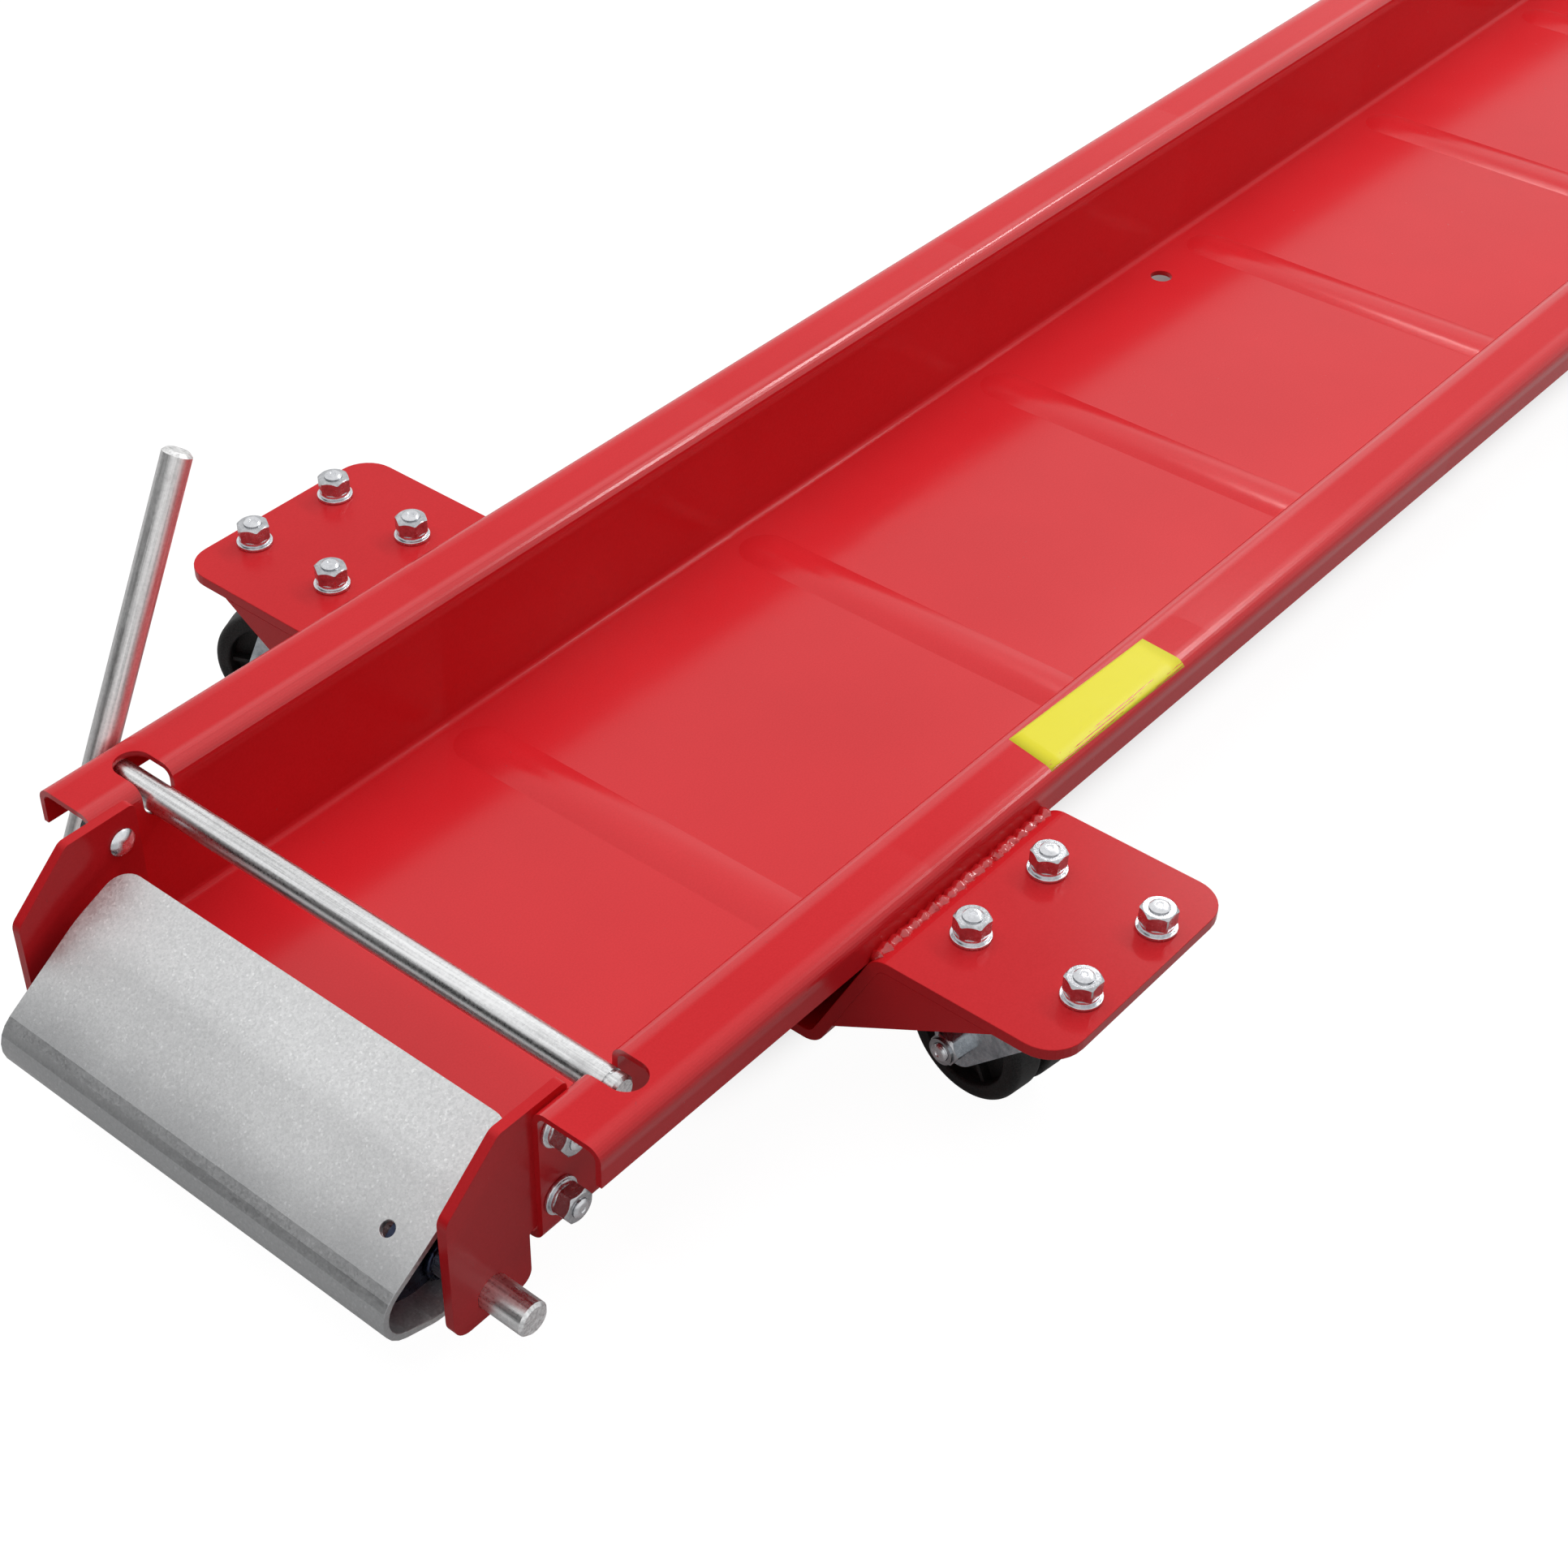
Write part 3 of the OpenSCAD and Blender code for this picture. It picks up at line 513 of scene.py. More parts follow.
class Solid:
    """One mesh that is being shaped, in metres."""

    # Millimetres off the rims of a hexagonal head
    RIM = 0.5
    # Shares of a weld bead's radius
    BEAD_STEP = 0.55
    BEAD_START = 0.5
    BEAD_END = 0.55
    BEAD_WANDER = 0.12
    RING_RIPPLE = 0.16
    RING_LUMPS = 0.12

    def __init__(self) -> None:
        """Starts an empty mesh."""
        self.mesh = bmesh.new()

    def lathe(self, profile: Iterable[Pair], steps: int, place: Matrix) -> None:
        """Spins a profile about Z and puts it in place.

        Args:
            profile: radius and height of each point, in millimetres, from pole to pole.
            steps: flat sides round the turn.
            place: where the local axes go, in metres.
        """
        before = set(self.mesh.verts)
        points = [self.mesh.verts.new((r * MM, 0.0, z * MM)) for r, z in profile]
        lines = [self.mesh.edges.new(pair) for pair in zip(points, points[1:])]
        self._spin(points + lines, steps)
        made = [v for v in self.mesh.verts if v not in before]
        bmesh.ops.remove_doubles(self.mesh, verts=made, dist=MERGE_DISTANCE)
        made = [v for v in self.mesh.verts if v not in before]
        bmesh.ops.transform(self.mesh, matrix=place, verts=made)

    def hexagon(self, flats: float, low: float, high: float, place: Matrix) -> None:
        """Adds a hexagonal head with bevelled rims.

        Args:
            flats: size across the flats, in millimetres.
            low: height of its lower face.
            high: height of its upper face.
            place: where the local axes go, in metres.
        """
        radius = flats / 2 / math.cos(math.pi / 6) * MM
        middle = Matrix.Translation((0, 0, (low + high) / 2 * MM))
        made = bmesh.ops.create_cone(
            self.mesh, cap_ends=True, segments=6, radius1=radius, radius2=radius,
            depth=(high - low) * MM, matrix=middle)["verts"]
        cut = bmesh.ops.bevel(
            self.mesh, geom=edges_at(made), offset=self.RIM * MM, offset_type="OFFSET",
            segments=2, profile=0.5, affect="EDGES", material=-1)["verts"]
        made = dict.fromkeys([v for v in made if v.is_valid] + cut)
        bmesh.ops.transform(self.mesh, matrix=place, verts=list(made))

    def bead(self, path: list[Vector], radius: float, seed: int, ripple: float = 0.16) -> None:
        """Lays a rippled weld bead along a path.

        Args:
            path: corners of the bead's centreline, in metres.
            radius: mean radius, in millimetres.
            seed: number that sets the unevenness.
            ripple: share by which the radius swells and shrinks.
        """
        line = self._stations(path, radius * self.BEAD_STEP * MM)
        draw = random.Random(seed)
        ring = self._first_ring(line, radius, BEAD_SIDES)
        centre, size = line[0].copy(), self.BEAD_START
        self._scale(ring, size, centre)
        last = len(line) - 1
        for index, here in enumerate(line[1:], start=1):
            ring = self._extrude(ring)
            drift = self.BEAD_WANDER
            wander = Vector([draw.uniform(-drift, drift) for _ in range(3)]) * radius * MM
            target = here + wander
            crest = 1.0 + ripple * math.sin(index * 1.9) + draw.uniform(-ripple, ripple) * 0.7
            wanted = self.BEAD_END if index == last else crest
            bmesh.ops.translate(self.mesh, vec=target - centre, verts=ring)
            self._scale(ring, wanted / size, target)
            centre, size = target, wanted
        self._close(ring)

    def tube(self, path: list[Vector], radius: float, chamfer: float) -> None:
        """Sweeps a round bar along a path, with its far end chamfered.

        Args:
            path: points of its centreline, in metres.
            radius: radius of the bar, in millimetres.
            chamfer: width of the chamfer.
        """
        way = (path[1] - path[0]).normalized()
        ring = self._first_ring(path, radius, BAR_SIDES)
        end, back = path[-1], (path[-1] - path[-2]).normalized() * chamfer * MM
        path = path[:-1] + [end - back, end]
        for before, here, after in zip(path, path[1:], path[2:] + [end * 2 - path[-2]]):
            ring = self._extrude(ring)
            ahead = ((here - before).normalized() + (after - here).normalized()).normalized()
            turn = way.rotation_difference(ahead).to_matrix()
            bmesh.ops.translate(self.mesh, vec=here - before, verts=ring)
            bmesh.ops.rotate(self.mesh, cent=here, matrix=turn, verts=ring)
            way = ahead
        self._scale(ring, 1 - chamfer / radius, end)
        self._close(ring)

    def _first_ring(self, path: list[Vector], radius: float, sides: int) -> list:
        """Closed circle of points at the start of a path, square to its first stretch."""
        ring = bmesh.ops.create_circle(
            self.mesh, cap_ends=True, segments=sides, radius=radius * MM)["verts"]
        heading = (path[1] - path[0]).to_track_quat("Z", "Y").to_matrix().to_4x4()
        place = Matrix.Translation(path[0]) @ heading
        bmesh.ops.transform(self.mesh, matrix=place, verts=ring)
        return ring

    def _scale(self, ring: list, by: float, centre: Vector) -> None:
        """Scales points about a centre."""
        bmesh.ops.scale(
            self.mesh, vec=(by,) * 3, space=Matrix.Translation(-centre), verts=ring)

    def _spin(self, geom: list, steps: int) -> None:
        """Turns points and edges once about Z."""
        bmesh.ops.spin(
            self.mesh, geom=geom, cent=(0, 0, 0), axis=(0, 0, 1), dvec=(0, 0, 0),
            angle=FULL_TURN, steps=steps, use_merge=True, use_duplicate=False)

    def _rim(self, ring: list) -> list:
        """Edges of an open ring of points."""
        return [edge for edge in edges_at(ring) if set(edge.verts) <= set(ring)]

    def _extrude(self, ring: list) -> list:
        """Extrudes a ring of points and hands back the new ring."""
        grown = bmesh.ops.extrude_edge_only(self.mesh, edges=self._rim(ring))["geom"]
        return [g for g in grown if isinstance(g, bmesh.types.BMVert)]

    def _close(self, ring: list) -> None:
        """Fills an open ring."""
        bmesh.ops.holes_fill(self.mesh, edges=self._rim(ring), sides=0)

    @staticmethod
    def rounded(corners: list[Vector], bend: float, steps: int = 12) -> list[Vector]:
        """Path whose inner corners are rounded.

        Args:
            corners: corners of the path, in metres.
            bend: radius of each bend, in millimetres.
            steps: steps in each bend.

        Returns:
            Points of the path.
        """
        line, radius = [corners[0]], bend * MM
        for before, here, after in zip(corners, corners[1:], corners[2:]):
            u, v = (here - before).normalized(), (after - here).normalized()
            turn = u.angle(v)
            side = (v - u * u.dot(v)).normalized()
            centre = here - u * radius * math.tan(turn / 2) + side * radius
            angles = [turn * k / steps for k in range(steps + 1)]
            line += [centre + (u * math.sin(a) - side * math.cos(a)) * radius for a in angles]
        return line + [corners[-1]]

    @staticmethod
    def _stations(path: list[Vector], pitch: float) -> list[Vector]:
        """Points at an even pitch along a path."""
        line = [path[0]]
        for start, end in zip(path, path[1:]):
            count = max(1, round((end - start).length / pitch))
            line += [start.lerp(end, k / count) for k in range(1, count + 1)]
        return line

    def ring_bead(self, ring: float, radius: float, place: Matrix, seed: int) -> None:
        """Lays a rippled weld bead round a bar.

        Args:
            ring: radius of its centreline, in millimetres.
            radius: radius of the bead.
            place: where the local axes go, in metres, with the bar along Z.
            seed: number that sets the unevenness.
        """
        before = set(self.mesh.verts)
        start = Matrix.Translation((ring * MM, 0, 0)) @ Matrix.Rotation(QUARTER_TURN, 4, "X")
        circle = bmesh.ops.create_circle(
            self.mesh, cap_ends=False, segments=BEAD_SIDES, radius=radius * MM,
            matrix=start)["verts"]
        steps = max(24, round(FULL_TURN * ring / (radius * 0.6)))
        self._spin(circle + edges_at(circle), steps)
        made = [v for v in self.mesh.verts if v not in before]
        for vert in made:
            angle = math.atan2(vert.co.y, vert.co.x)
            core = Vector((math.cos(angle), math.sin(angle), 0)) * ring * MM
            lumps = noise.noise(Vector((angle * 3, seed, 0.5)))
            swell = 1 + self.RING_RIPPLE * math.sin(angle * steps / 3) + self.RING_LUMPS * lumps
            vert.co = core + (vert.co - core) * swell
        bmesh.ops.transform(self.mesh, matrix=place, verts=made)

    def piece(self, name: str, body: str, material: bpy.types.Material,
              smooth: float = SMOOTH_TURNED) -> bpy.types.Object:
        """Turns the mesh into a finished object that rides on a body.

        Args:
            name: name of the piece.
            body: body that carries it.
            material: its finish.
            smooth: edges that turn by fewer degrees are shaded smooth.

        Returns:
            The object.
        """
        bmesh.ops.recalc_face_normals(self.mesh, faces=self.mesh.faces)
        for face in self.mesh.faces:
            face.smooth = True
        for edge in self.mesh.edges:
            edge.smooth = edge.calc_face_angle(0.0) < math.radians(smooth)
        made = hung(name, self.mesh, material)
        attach(made, body)
        log.info("%s rides on %s with %d faces", name, body, len(made.data.polygons))
        return made


@dataclass(frozen=True)
class Finishes:
    """Materials of the dolly."""

    floor: bpy.types.Material
    enamel: bpy.types.Material
    weld: bpy.types.Material
    zinc: bpy.types.Material
    nut: bpy.types.Material
    plate_zinc: bpy.types.Material
    flap: bpy.types.Material
    rib: bpy.types.Material
    shaft: bpy.types.Material
    lever: bpy.types.Material
    wheel: bpy.types.Material
    label: bpy.types.Material

    @classmethod
    def make(cls) -> "Finishes":
        """Builds every material."""
        return cls(
            floor=Enamel(
                "deck_enamel", deep=(0.655, 0.013, 0.019, 1.0), bright=(0.765, 0.022, 0.030, 1.0),
                bow=0.0009, specular=0.17, clear=0.44).make(),
            enamel=Enamel("red_enamel").make(),
            weld=Enamel(
                "weld_enamel", gloss=0.10, peel=0.0004, peel_scale=480.0, specular=1.0).make(),
            zinc=Zinc("bright_zinc").make(),
            nut=Zinc(
                "nut_zinc", dull=(0.30, 0.305, 0.32, 1.0), bright=(0.60, 0.61, 0.63, 1.0)).make(),
            plate_zinc=Zinc(
                "blue_zinc", dull=(0.26, 0.29, 0.315, 1.0), bright=(0.64, 0.69, 0.73, 1.0),
                rough=0.26, grain=420.0).make(),
            flap=SpangledZinc("spangled_zinc").make(),
            # Near-black blue steel for the flap's ribs and their welds
            rib=Zinc(
                "near_black_steel", dull=(0.012, 0.015, 0.03, 1.0), bright=(0.05, 0.06, 0.1, 1.0),
                rough=0.28).make(),
            shaft=DrawnBar("drawn_bar", (620.0, 9.0, 620.0)).make(),
            lever=DrawnBar(
                "drawn_lever", (620.0, 620.0, 9.0), lean=math.radians(28.2), rough=0.4,
                metallic=0.85, dark=(0.40, 0.40, 0.40, 1.0),
                bright=(0.93, 0.93, 0.925, 1.0)).make(),
            wheel=Moulded("charcoal_moulded").make(),
            label=LabelFilm("label_film").make(),
        )


def dress(names: Iterable[str], material: bpy.types.Material, edge: float = 0.0) -> None:
    """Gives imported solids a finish, and breaks their sharp edges.

    Args:
        names: nodes to dress.
        material: finish for all of them.
        edge: width of the broken edge, in millimetres, or 0 for none.
    """
    for name in names:
        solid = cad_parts[name]
        solid.data.materials.clear()
        solid.data.materials.append(material)
        if edge:
            weld = solid.modifiers.new("joined", "WELD")
            weld.merge_threshold = MERGE_DISTANCE
            flat = solid.modifiers.new("planes", "DECIMATE")
            flat.decimate_type = "DISSOLVE"
            flat.angle_limit = FLAT_LIMIT
            broken = solid.modifiers.new("broken_edges", "BEVEL")
            broken.width = edge * MM
            broken.segments = 2
            broken.limit_method = "ANGLE"
            broken.angle_limit = SHARP_LIMIT
            broken.harden_normals = True
        log.info("%s dressed in %s", name, material.name)


@dataclass
class Deck:
    """Deck channel, cross-members, gussets and brackets, with their welds and the label."""

    finishes: Finishes
    cross_at: tuple = (("front", 202.4), ("rear", 1947.6))
    cross_length: float = 113.6
    groove_y: float = 149.0
    groove_z: float = 50.6
    wing_bead: Pair = (3.1, 0.26)
    wing_bead_gap: float = 1.5
    second_bead: Pair = (1.9, 0.24)
    second_from: float = 0.3
    second_out: float = 1.4
    second_up: Pair = (0.6, 0.9)
    keel_out: float = 0.5
    keel_z: float = -3.7
    keel_starts: Triple = (-108.0, -30.0, 48.0)
    keel_run: float = 60.0
    keel_bead: float = 1.9
    gusset_thick: float = 4.0
    inner_seam: tuple = ((133.6, 8.0), (151.0, 43.4), (156.5, 47.3), (197.0, 47.3))
    seam_in: float = 0.7
    seam_bead: float = 1.7
    flange_top: float = 65.6
    bend_y: float = 140.7
    bend_r: float = 6.1
    label_near: tuple = ((268.8, 120.6), (264.4, 144.6))
    label_far: tuple = ((358.5, 123.6), (356.6, 146.2))
    label_lift: float = 0.03
    label_film: float = 0.18

    def build(self) -> None:
        """Dresses the deck's solids and adds its pieces."""
        finishes = self.finishes
        dress(["deck_channel"], finishes.floor, edge=0.5)
        plates = ["left_ramp_bracket", "right_ramp_bracket", "far_wheel_stop"]
        dress(plates, finishes.enamel, edge=1.2)
        for end, middle in self.cross_at:
            dress([f"{end}_cross_member"], finishes.enamel, edge=0.45)
            self._under_welds(end, middle)
            for side, sign in SIDES:
                dress([f"{end}_{side}_gusset_{mark}" for mark in "ab"], finishes.enamel)
                self._wing_weld(end, side, sign, middle)
                self._gusset_welds(end, side, sign, middle)
        self._label()

    def _weld(self, solid: Solid, name: str) -> None:
        """Finishes the beads of one seam."""
        solid.piece(name, "deck", self.finishes.weld, SMOOTH_WELD)

    def _wing_weld(self, end: str, side: str, sign: int, middle: float) -> None:
        """Bead between a wing and the lip of the deck, with a short second pass at its end."""
        reach = self.cross_length / 2 - self.wing_bead_gap
        y, z = sign * self.groove_y, self.groove_z
        near, later, far = middle - reach, middle + reach * self.second_from, middle + reach
        start_up, end_up = self.second_up
        solid = Solid()
        radius, ripple = self.wing_bead
        solid.bead([on_deck(near, y, z), on_deck(far, y, z)], radius, 11 + sign, ripple)
        radius, ripple = self.second_bead
        start = on_deck(later, y + sign * self.second_out, z + start_up)
        solid.bead([start, on_deck(far, y, z + end_up)], radius, 17 + sign, ripple)
        self._weld(solid, f"{end}_{side}_wing_weld")

    def _under_welds(self, end: str, middle: float) -> None:
        """Beads between a cross-member and the underside of the deck."""
        solid = Solid()
        z = self.keel_z
        for seed, edge in enumerate(SIGNS):
            x = middle + edge * (self.cross_length / 2 + self.keel_out)
            for y in self.keel_starts:
                run = [on_deck(x, y, z), on_deck(x, y + self.keel_run, z)]
                solid.bead(run, self.keel_bead, 31 + seed)
        self._weld(solid, f"{end}_keel_weld")

    def _gusset_welds(self, end: str, side: str, sign: int, middle: float) -> None:
        """Beads along the inner edges of the two gussets of one wing."""
        for mark, edge in (("a", -1), ("b", 1)):
            x = middle + edge * (self.cross_length / 2 - self.gusset_thick - self.seam_in)
            seam = [on_deck(x, sign * y, z) for y, z in self.inner_seam]
            solid = Solid()
            solid.bead(seam, self.seam_bead, 53 + edge)
            self._weld(solid, f"{end}_{side}_gusset_weld_{mark}")

    def _label(self) -> None:
        """Bare yellow label, laid over the outer bend of the right flange."""
        near, far = ([Vector(point) for point in end] for end in (self.label_near, self.label_far))
        radius = self.bend_r + self.label_lift
        solid = Solid()
        bmesh.ops.create_grid(solid.mesh, x_segments=12, y_segments=16, size=0.5)
        for vert in solid.mesh.verts:
            u, v = vert.co.x + 0.5, vert.co.y + 0.5
            x, run = near[0].lerp(near[1], v).lerp(far[0].lerp(far[1], v), u)
            turn = max(0.0, (run - self.bend_y) / self.bend_r)
            y = min(run, self.bend_y) + radius * math.sin(turn)
            z = self.flange_top - self.bend_r + radius * math.cos(turn)
            vert.co = on_deck(x, -y, z)
        made = solid.piece("yellow_label", "deck", self.finishes.label, SMOOTH_WELD)
        film = made.modifiers.new("film", "SOLIDIFY")
        film.thickness = self.label_film * MM
        film.offset = 1.0


@dataclass
class Fasteners:
    """Bolts, washers and nuts of the casters and walls, with turned threads."""

    finishes: Finishes
    radius: float = 4.0
    root: float = 3.42
    pitch: float = 1.25
    thread_from: float = 1.5
    plain_gap: float = 0.5
    last_turn: float = 1.6
    tip: tuple = ((4.0, 0.9), (3.1, 0.1), (2.8, 0.0), (1.5, 0.0), (1.1, 0.35), (0.0, 0.35))
    stack: float = 10.1
    end: float = 1.5
    head: float = 5.3
    flats: float = 13.0
    caster_x: Pair = (202.4, 1947.6)
    caster_y: float = 194.3
    half_length: float = 24.35
    half_width: float = 24.5
    wing_top: float = 53.5
    caster_grip: float = 7.5
    wall_x: tuple = ((9.0, 7.1), (2102.0, 6.6))
    wall_z: Pair = (16.5, 51.5)
    wall_face: float = 117.6
    dome: tuple = (
        (0.0, 3.2), (0.9, 3.25), (1.4, 3.36), (2.6, 2.98), (3.8, 2.49), (5.0, 1.75),
        (5.8, 1.08), (6.1, 0.7), (6.1, 0.15), (5.95, 0.0))

    def build(self) -> None:
        """Dresses the fasteners and puts threaded bolts in place of the plain ones."""
        washers = ["wall_washers", "wall_lock_washers", "caster_washers", "caster_lock_washers"]
        dress(washers, self.finishes.zinc, edge=0.25)
        dress(["wall_nuts", "caster_nuts"], self.finishes.nut)
        dress(["swivel_balls"], self.finishes.zinc)
        self._caster_bolts()
        self._wall_bolts()

    def turned(self, foot: float, low: float, high: float) -> list[Pair]:
        """Profile of a shank and its thread, with a turned chamfer and a centre mark.

        Args:
            foot: height at which the shank leaves the head, in millimetres.
            low: height at which the thread starts.
            high: height of the bolt's end.

        Returns:
            Radius and height of each point.
        """
        points, z = [(self.radius, foot), (self.radius, low - self.plain_gap)], low
        while z < high - self.last_turn:
            points += [(self.radius, z), (self.root, z + self.pitch / 2)]
            z += self.pitch
        return points + [(self.radius, z)] + [(r, high - down) for r, down in self.tip]

    def hex_bolt(self, solid: Solid, foot: float, low: float, high: float, place: Matrix) -> None:
        """Adds a bolt with a hexagonal head, its heights as in the profile of its shank."""
        solid.lathe([(0.0, foot)] + self.turned(foot, low, high), BOLT_SIDES, place)
        solid.hexagon(self.flats, foot - self.head, foot, place)

    def _caster_bolts(self) -> None:
        """Sixteen hexagon bolts from below, through plate and wing."""
        solid = Solid()
        for middle, side, i, j in product(self.caster_x, SIGNS, SIGNS, SIGNS):
            x = middle + i * self.half_length
            y = side * self.caster_y + j * self.half_width
            place = Matrix.Translation(on_deck(x, y, self.wing_top))
            self.hex_bolt(
                solid, -self.caster_grip, self.thread_from, self.stack + self.end, place)
        made = solid.piece("threaded_caster_bolts", "deck", self.finishes.zinc)
        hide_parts("caster_bolts")

    def _wall_bolts(self) -> None:
        """Eight domed bolts from inside the walls."""
        solid = Solid()
        for side, (x, grip), z in product(SIGNS, self.wall_x, self.wall_z):
            turn = Matrix.Rotation(-side * QUARTER_TURN, 4, "X")
            place = Matrix.Translation(on_deck(x, side * self.wall_face, z)) @ turn
            head = [(r, -grip - height) for r, height in self.dome]
            shank = self.turned(-grip, self.thread_from, self.stack + self.end)
            solid.lathe(head + shank, BOLT_SIDES, place)
        made = solid.piece("threaded_wall_bolts", "deck", self.finishes.zinc)
        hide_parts("wall_bolts")


@dataclass
class Ramp:
    """Ramp flap with its ribs, shaft and lever, and the welds between them."""

    finishes: Finishes
    pivot_x: float = -24.0
    pivot_z: float = -9.0
    shaft_r: float = 7.25
    shaft_ends: Pair = (121.0, -135.5)
    shaft_chamfer: float = 1.2
    lever_r: float = 6.25
    lever_bend: float = 14.0
    lever_chamfer: float = 1.5
    lever_path: tuple = (
        (0.0, 121.1, 0.0), (0.0, 129.0, 0.0), (31.0, 154.2, 10.0), (120.13, 154.2, 176.24))
    lever_bead: float = 1.7
    lever_bead_in: float = 0.05
    lever_bead_out: float = 0.3
    rib_face: float = 90.0
    rib_thick: float = 4.0
    rib_bead: float = 1.6
    rib_bead_off: float = 0.9
    rib_bead_out: float = 0.7

    def build(self) -> None:
        """Dresses the flap and its ribs, and adds the shaft, the lever and the welds."""
        finishes = self.finishes
        dress(["ramp_flap"], finishes.flap, edge=0.35)
        dress(["left_flap_rib", "right_flap_rib"], finishes.rib, edge=0.3)
        self._shaft()
        self._lever()
        for side, sign in SIDES:
            self._rib_welds(side, sign)

    def _round_pivot(self, y: float) -> Matrix:
        """Place on the pivot's line whose local Z runs along it."""
        turn = Matrix.Rotation(QUARTER_TURN, 4, "X")
        return Matrix.Translation(on_deck(self.pivot_x, y, self.pivot_z)) @ turn

    def _shaft(self) -> None:
        """Turned shaft from the lever's foot through both brackets, chamfered at its free end."""
        solid = Solid()
        ends = [on_deck(self.pivot_x, y, self.pivot_z) for y in self.shaft_ends]
        solid.tube(ends, self.shaft_r, self.shaft_chamfer)
        made = solid.piece("turned_shaft", "ramp", self.finishes.shaft)
        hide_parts("pivot_shaft")

    def _lever(self) -> None:
        """Lever bent from one bar, and the lumpy ring that welds it to the shaft's end."""
        corners = [on_deck(self.pivot_x + x, y, self.pivot_z + z) for x, y, z in self.lever_path]
        solid = Solid()
        solid.tube(solid.rounded(corners, self.lever_bend), self.lever_r, self.lever_chamfer)
        made = solid.piece("bent_lever", "ramp", self.finishes.lever)
        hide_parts("lever_bar")
        solid = Solid()
        root = self._round_pivot(self.lever_path[0][1] - self.lever_bead_in)
        solid.ring_bead(self.lever_r + self.lever_bead_out, self.lever_bead, root, 5)
        solid.piece("lever_weld", "ramp", self.finishes.zinc, SMOOTH_WELD)

    def _rib_welds(self, side: str, sign: int) -> None:
        """Beads round the shaft on both faces of one rib."""
        solid = Solid()
        outer, off = self.rib_face, self.rib_bead_off
        for seed, face in enumerate((outer + off, outer - self.rib_thick - off)):
            place = self._round_pivot(sign * face)
            solid.ring_bead(self.shaft_r + self.rib_bead_out, self.rib_bead, place, 7 + seed)
        solid.piece(f"{side}_rib_weld", "ramp", self.finishes.rib, SMOOTH_WELD)


@dataclass
class StopRod:
    """Loose bar across the ramp end of the deck."""

    finishes: Finishes

    def build(self) -> None:
        """Dresses the bar."""
        dress(["stop_rod"], self.finishes.shaft)


@dataclass
class Casters:
    """Four swivel casters with twin wheels."""

    finishes: Finishes
    fasteners: Fasteners
    trail: float = 29.0
    axle_z: float = 29.0
    leg_out: float = 20.8
    thread_out: float = 2.5
    past_leg: float = 9.5

    def build(self) -> None:
        """Dresses each caster and threads its axle bolt."""
        for corner in Corner:
            name = corner.label
            dress([f"{name}_plate", f"{name}_fork"], self.finishes.plate_zinc, edge=0.3)
            dress([f"{name}_kingpin"], self.finishes.zinc)
            dress([f"{name}_axle_nut"], self.finishes.nut)
            dress([f"{name}_wheel_a", f"{name}_wheel_b"], self.finishes.wheel)
            self._axle_bolt(corner)

    def _axle_bolt(self, corner: Corner) -> None:
        """Bolt through both wheels, with its thread showing past the nut."""
        end, side, turn = corner.value
        bolts, leg = self.fasteners, self.leg_out
        x = bolts.caster_x[0 if end < 0 else 1] - MID_X
        swivel = Matrix.Translation(Vector((x, side * bolts.caster_y, 0)) * MM)
        heading = Matrix.Rotation(math.radians(turn), 4, "Z")
        axle = Matrix.Translation(Vector((self.trail, 0, self.axle_z)) * MM)
        place = swivel @ heading @ axle @ Matrix.Rotation(-QUARTER_TURN, 4, "X")
        solid = Solid()
        bolts.hex_bolt(solid, -leg, leg + self.thread_out, leg + self.past_leg, place)
        name = corner.label
        made = solid.piece(
            f"{name}_threaded_axle", f"{name}_caster", self.finishes.zinc)
        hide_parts(f"{corner.label}_axle_bolt")


@dataclass(frozen=True)
class Card:
    """Dark upright sheet that shades the near faces, or that bare metal mirrors.

    It is turned about the vertical by so many degrees, and half its size is in metres.
    """

    name: str
    at: Triple
    turn: float
    half: Pair
    mirrored: bool = False


@dataclass(frozen=True)
class Lamp:
    """Rectangular softbox that faces a point, with its size in metres and its power in watts."""

    name: str
    at: Triple
    target: Triple
    size: Pair
    power: float
    mirrored: bool = True


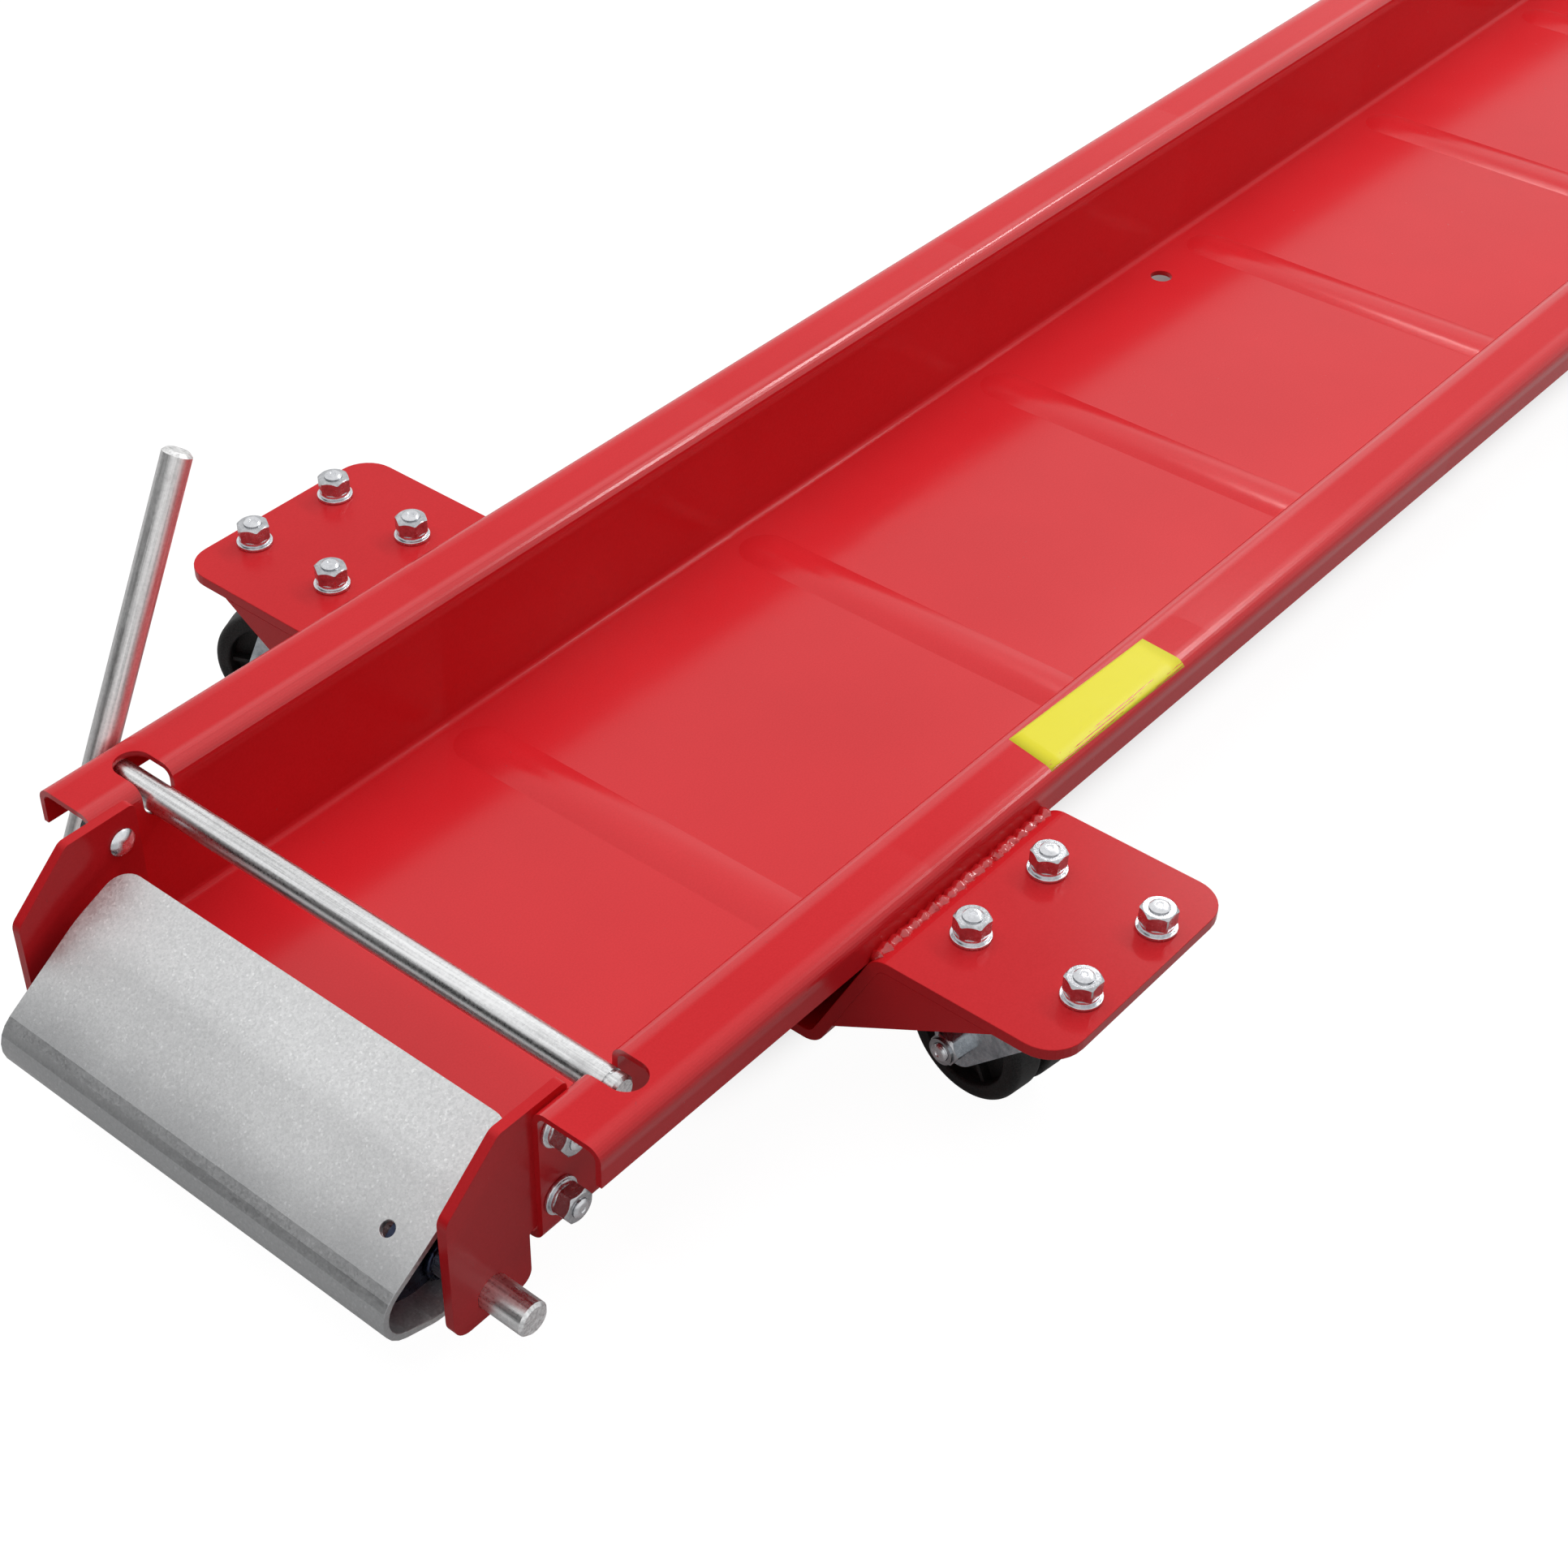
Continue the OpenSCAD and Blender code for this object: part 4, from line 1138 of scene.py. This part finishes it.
@dataclass
class Studio:
    """Camera, pale floor, cards, lights and background."""

    camera_at: Triple = (-1.4720356, -0.5514441, 0.7553696)
    right: Triple = (0.65969838, -0.75150216, -0.00652288)
    up: Triple = (0.52289425, 0.45274859, 0.72221903)
    focal_px: float = 3233.9325
    centre_px: Pair = (799.4396, 1200.1921)
    image_px: float = 1932.0
    sensor: float = 36.0
    clip_start: float = 0.01
    floor_half: Pair = (9.0, 9.0)
    floor_tone: Colour = (0.62, 0.62, 0.62, 1.0)
    floor_glow: float = 1.24
    seen_share: float = 0.78
    mirrored_share: float = 0.12
    # Painted shadow under the deck: bounds in metres, with soft edges, inside which the floor's
    # glow is switched off
    under_x: Pair = (-0.95, 0.95)
    under_x_fade: float = 0.1
    under_y: Pair = (-0.11, 0.16)
    under_y_fade: float = 0.06
    card_tones: tuple[Colour, Colour] = ((0.02, 0.02, 0.02, 1.0), (0.035, 0.035, 0.035, 1.0))
    cards: tuple[Card, ...] = (
        Card("card_behind", (-2.9, -0.6, 0.8), 0.0, (0.8, 2.2)),
        Card("card_beside", (-0.4, -2.3, 0.95), 90.0, (0.95, 2.4)),
        Card("card_ahead", (-2.6, 1.1, 0.66), -28.0, (0.64, 1.4), mirrored=True))
    lamps: tuple[Lamp, ...] = (
        Lamp("overhead", (-0.8, 0.3, 2.4), (-0.8, 0.0, 0.0), (2.8, 2.6), 38.0, mirrored=False),
        Lamp("strip", (0.9, -0.3, 1.7), (-0.6, -0.1, 0.05), (2.2, 0.12), 14.0))
    room_light: float = 0.30

    def build(self) -> None:
        """Sets up the whole studio."""
        self._camera()
        self._floor()
        self._cards()
        self._lights()
        self._world()
        bpy.context.scene.view_settings.view_transform = "Standard"

    def _camera(self) -> None:
        """Puts the camera where the photograph was taken from."""
        data = bpy.data.cameras.new("camera")
        data.sensor_fit = "HORIZONTAL"
        data.sensor_width = self.sensor
        data.lens = self.focal_px / self.image_px * self.sensor
        data.shift_x = 0.5 - self.centre_px[0] / self.image_px
        data.shift_y = self.centre_px[1] / self.image_px - 0.5
        data.clip_start = self.clip_start
        right, up = Vector(self.right), Vector(self.up)
        turn = Matrix((right, up, right.cross(up))).transposed().to_4x4()
        made = bpy.data.objects.new("camera", data)
        made.matrix_world = Matrix.Translation(self.camera_at) @ turn
        bpy.context.scene.collection.objects.link(made)
        bpy.context.scene.camera = made

    def _floor(self) -> None:
        """Lays a pale floor that shows white to the camera and keeps a soft shadow, with a painted
        shadow patch under the deck where its glow is switched off.
        """
        paint = Paint("pale_floor")
        at = paint.place()
        x, y = paint.along(at, "X"), paint.along(at, "Y")
        # Painted shadow: under the deck the camera sees the shaded diffuse floor instead of the
        # glow
        x_fade, y_fade = self.under_x_fade, self.under_y_fade
        across = y.between(*self.under_y, y_fade, y_fade)
        under = across * x.between(*self.under_x, x_fade, x_fade)
        pale = paint.node("ShaderNodeBsdfDiffuse", {}, {"Color": self.floor_tone})
        glow = paint.node(
            "ShaderNodeEmission", {}, {"Color": (1.0,) * 4, "Strength": self.floor_glow})
        seen = paint.node("ShaderNodeLightPath", out="Is Camera Ray")
        mirrored = paint.node("ShaderNodeLightPath", out="Is Glossy Ray")
        share = seen * (1.0 - under) * self.seen_share + mirrored * self.mirrored_share
        paint.node_output(paint.node("ShaderNodeMixShader", {}, {0: share, 1: pale, 2: glow}))
        self._sheet("studio_floor", Matrix.Identity(4), self.floor_half, paint.block)

    def _cards(self) -> None:
        """Stands the dark cards."""
        paint = Paint("dark_card")
        tone = paint.noise(paint.place(), 2.0)
        finish = paint.finish(Base_Color=paint.mix(tone, *self.card_tones), Roughness=0.9)
        upright = Matrix.Rotation(QUARTER_TURN, 4, "Y")
        for card in self.cards:
            turn = Matrix.Rotation(math.radians(card.turn), 4, "Z")
            place = Matrix.Translation(card.at) @ turn @ upright
            made = self._sheet(card.name, place, card.half, finish)
            made.visible_camera = False
            made.visible_glossy = card.mirrored

    @staticmethod
    def _sheet(name: str, place: Matrix, half: Pair,
               material: bpy.types.Material) -> bpy.types.Object:
        """Adds one flat sheet to the stage, with half its size in metres."""
        mesh = bmesh.new()
        size = Matrix.Diagonal((half[0], half[1], 1.0, 1.0))
        bmesh.ops.create_grid(mesh, x_segments=1, y_segments=1, size=1.0, matrix=place @ size)
        made = hung(name, mesh, material)
        return made

    def _lights(self) -> None:
        """Hangs the softboxes."""
        for lamp in self.lamps:
            data = bpy.data.lights.new(lamp.name, "AREA")
            data.shape = "RECTANGLE"
            data.size, data.size_y = lamp.size
            data.energy = lamp.power
            made = bpy.data.objects.new(lamp.name, data)
            made.location = lamp.at
            way = Vector(lamp.target) - Vector(lamp.at)
            made.rotation_euler = way.to_track_quat("-Z", "Y").to_euler()
            made.visible_glossy = lamp.mirrored
            bpy.context.scene.collection.objects.link(made)

    def _world(self) -> None:
        """White background for the camera and for reflections, and an even room light."""
        paint = Paint("studio", "worlds")
        share = paint.node("ShaderNodeLightPath", out="Is Camera Ray")
        for kind in ("Is Glossy Ray", "Is Transmission Ray"):
            ray = paint.node("ShaderNodeLightPath", out=kind)
            share = paint.node("ShaderNodeMath", {"operation": "MAXIMUM"}, {0: share, 1: ray})
        room, white = (
            paint.node("ShaderNodeBackground", {}, {"Color": (1.0,) * 4, "Strength": strength})
            for strength in (self.room_light, 1.0))
        mixed = paint.node("ShaderNodeMixShader", {}, {0: share, 1: room, 2: white})
        paint.node_output(mixed, "ShaderNodeOutputWorld")
        bpy.context.scene.world = paint.block


def main() -> None:
    """Builds the studio and every sub-assembly."""
    logging.basicConfig(level=logging.INFO, format="%(name)s: %(message)s")
    Studio().build()
    finishes = Finishes.make()
    fasteners = Fasteners(finishes)
    assemblies = (Deck(finishes), fasteners, Ramp(finishes), StopRod(finishes),
                  Casters(finishes, fasteners))
    for assembly in assemblies:
        assembly.build()
        log.info("%s built", type(assembly).__name__)


if __name__ == "__main__":
    main()
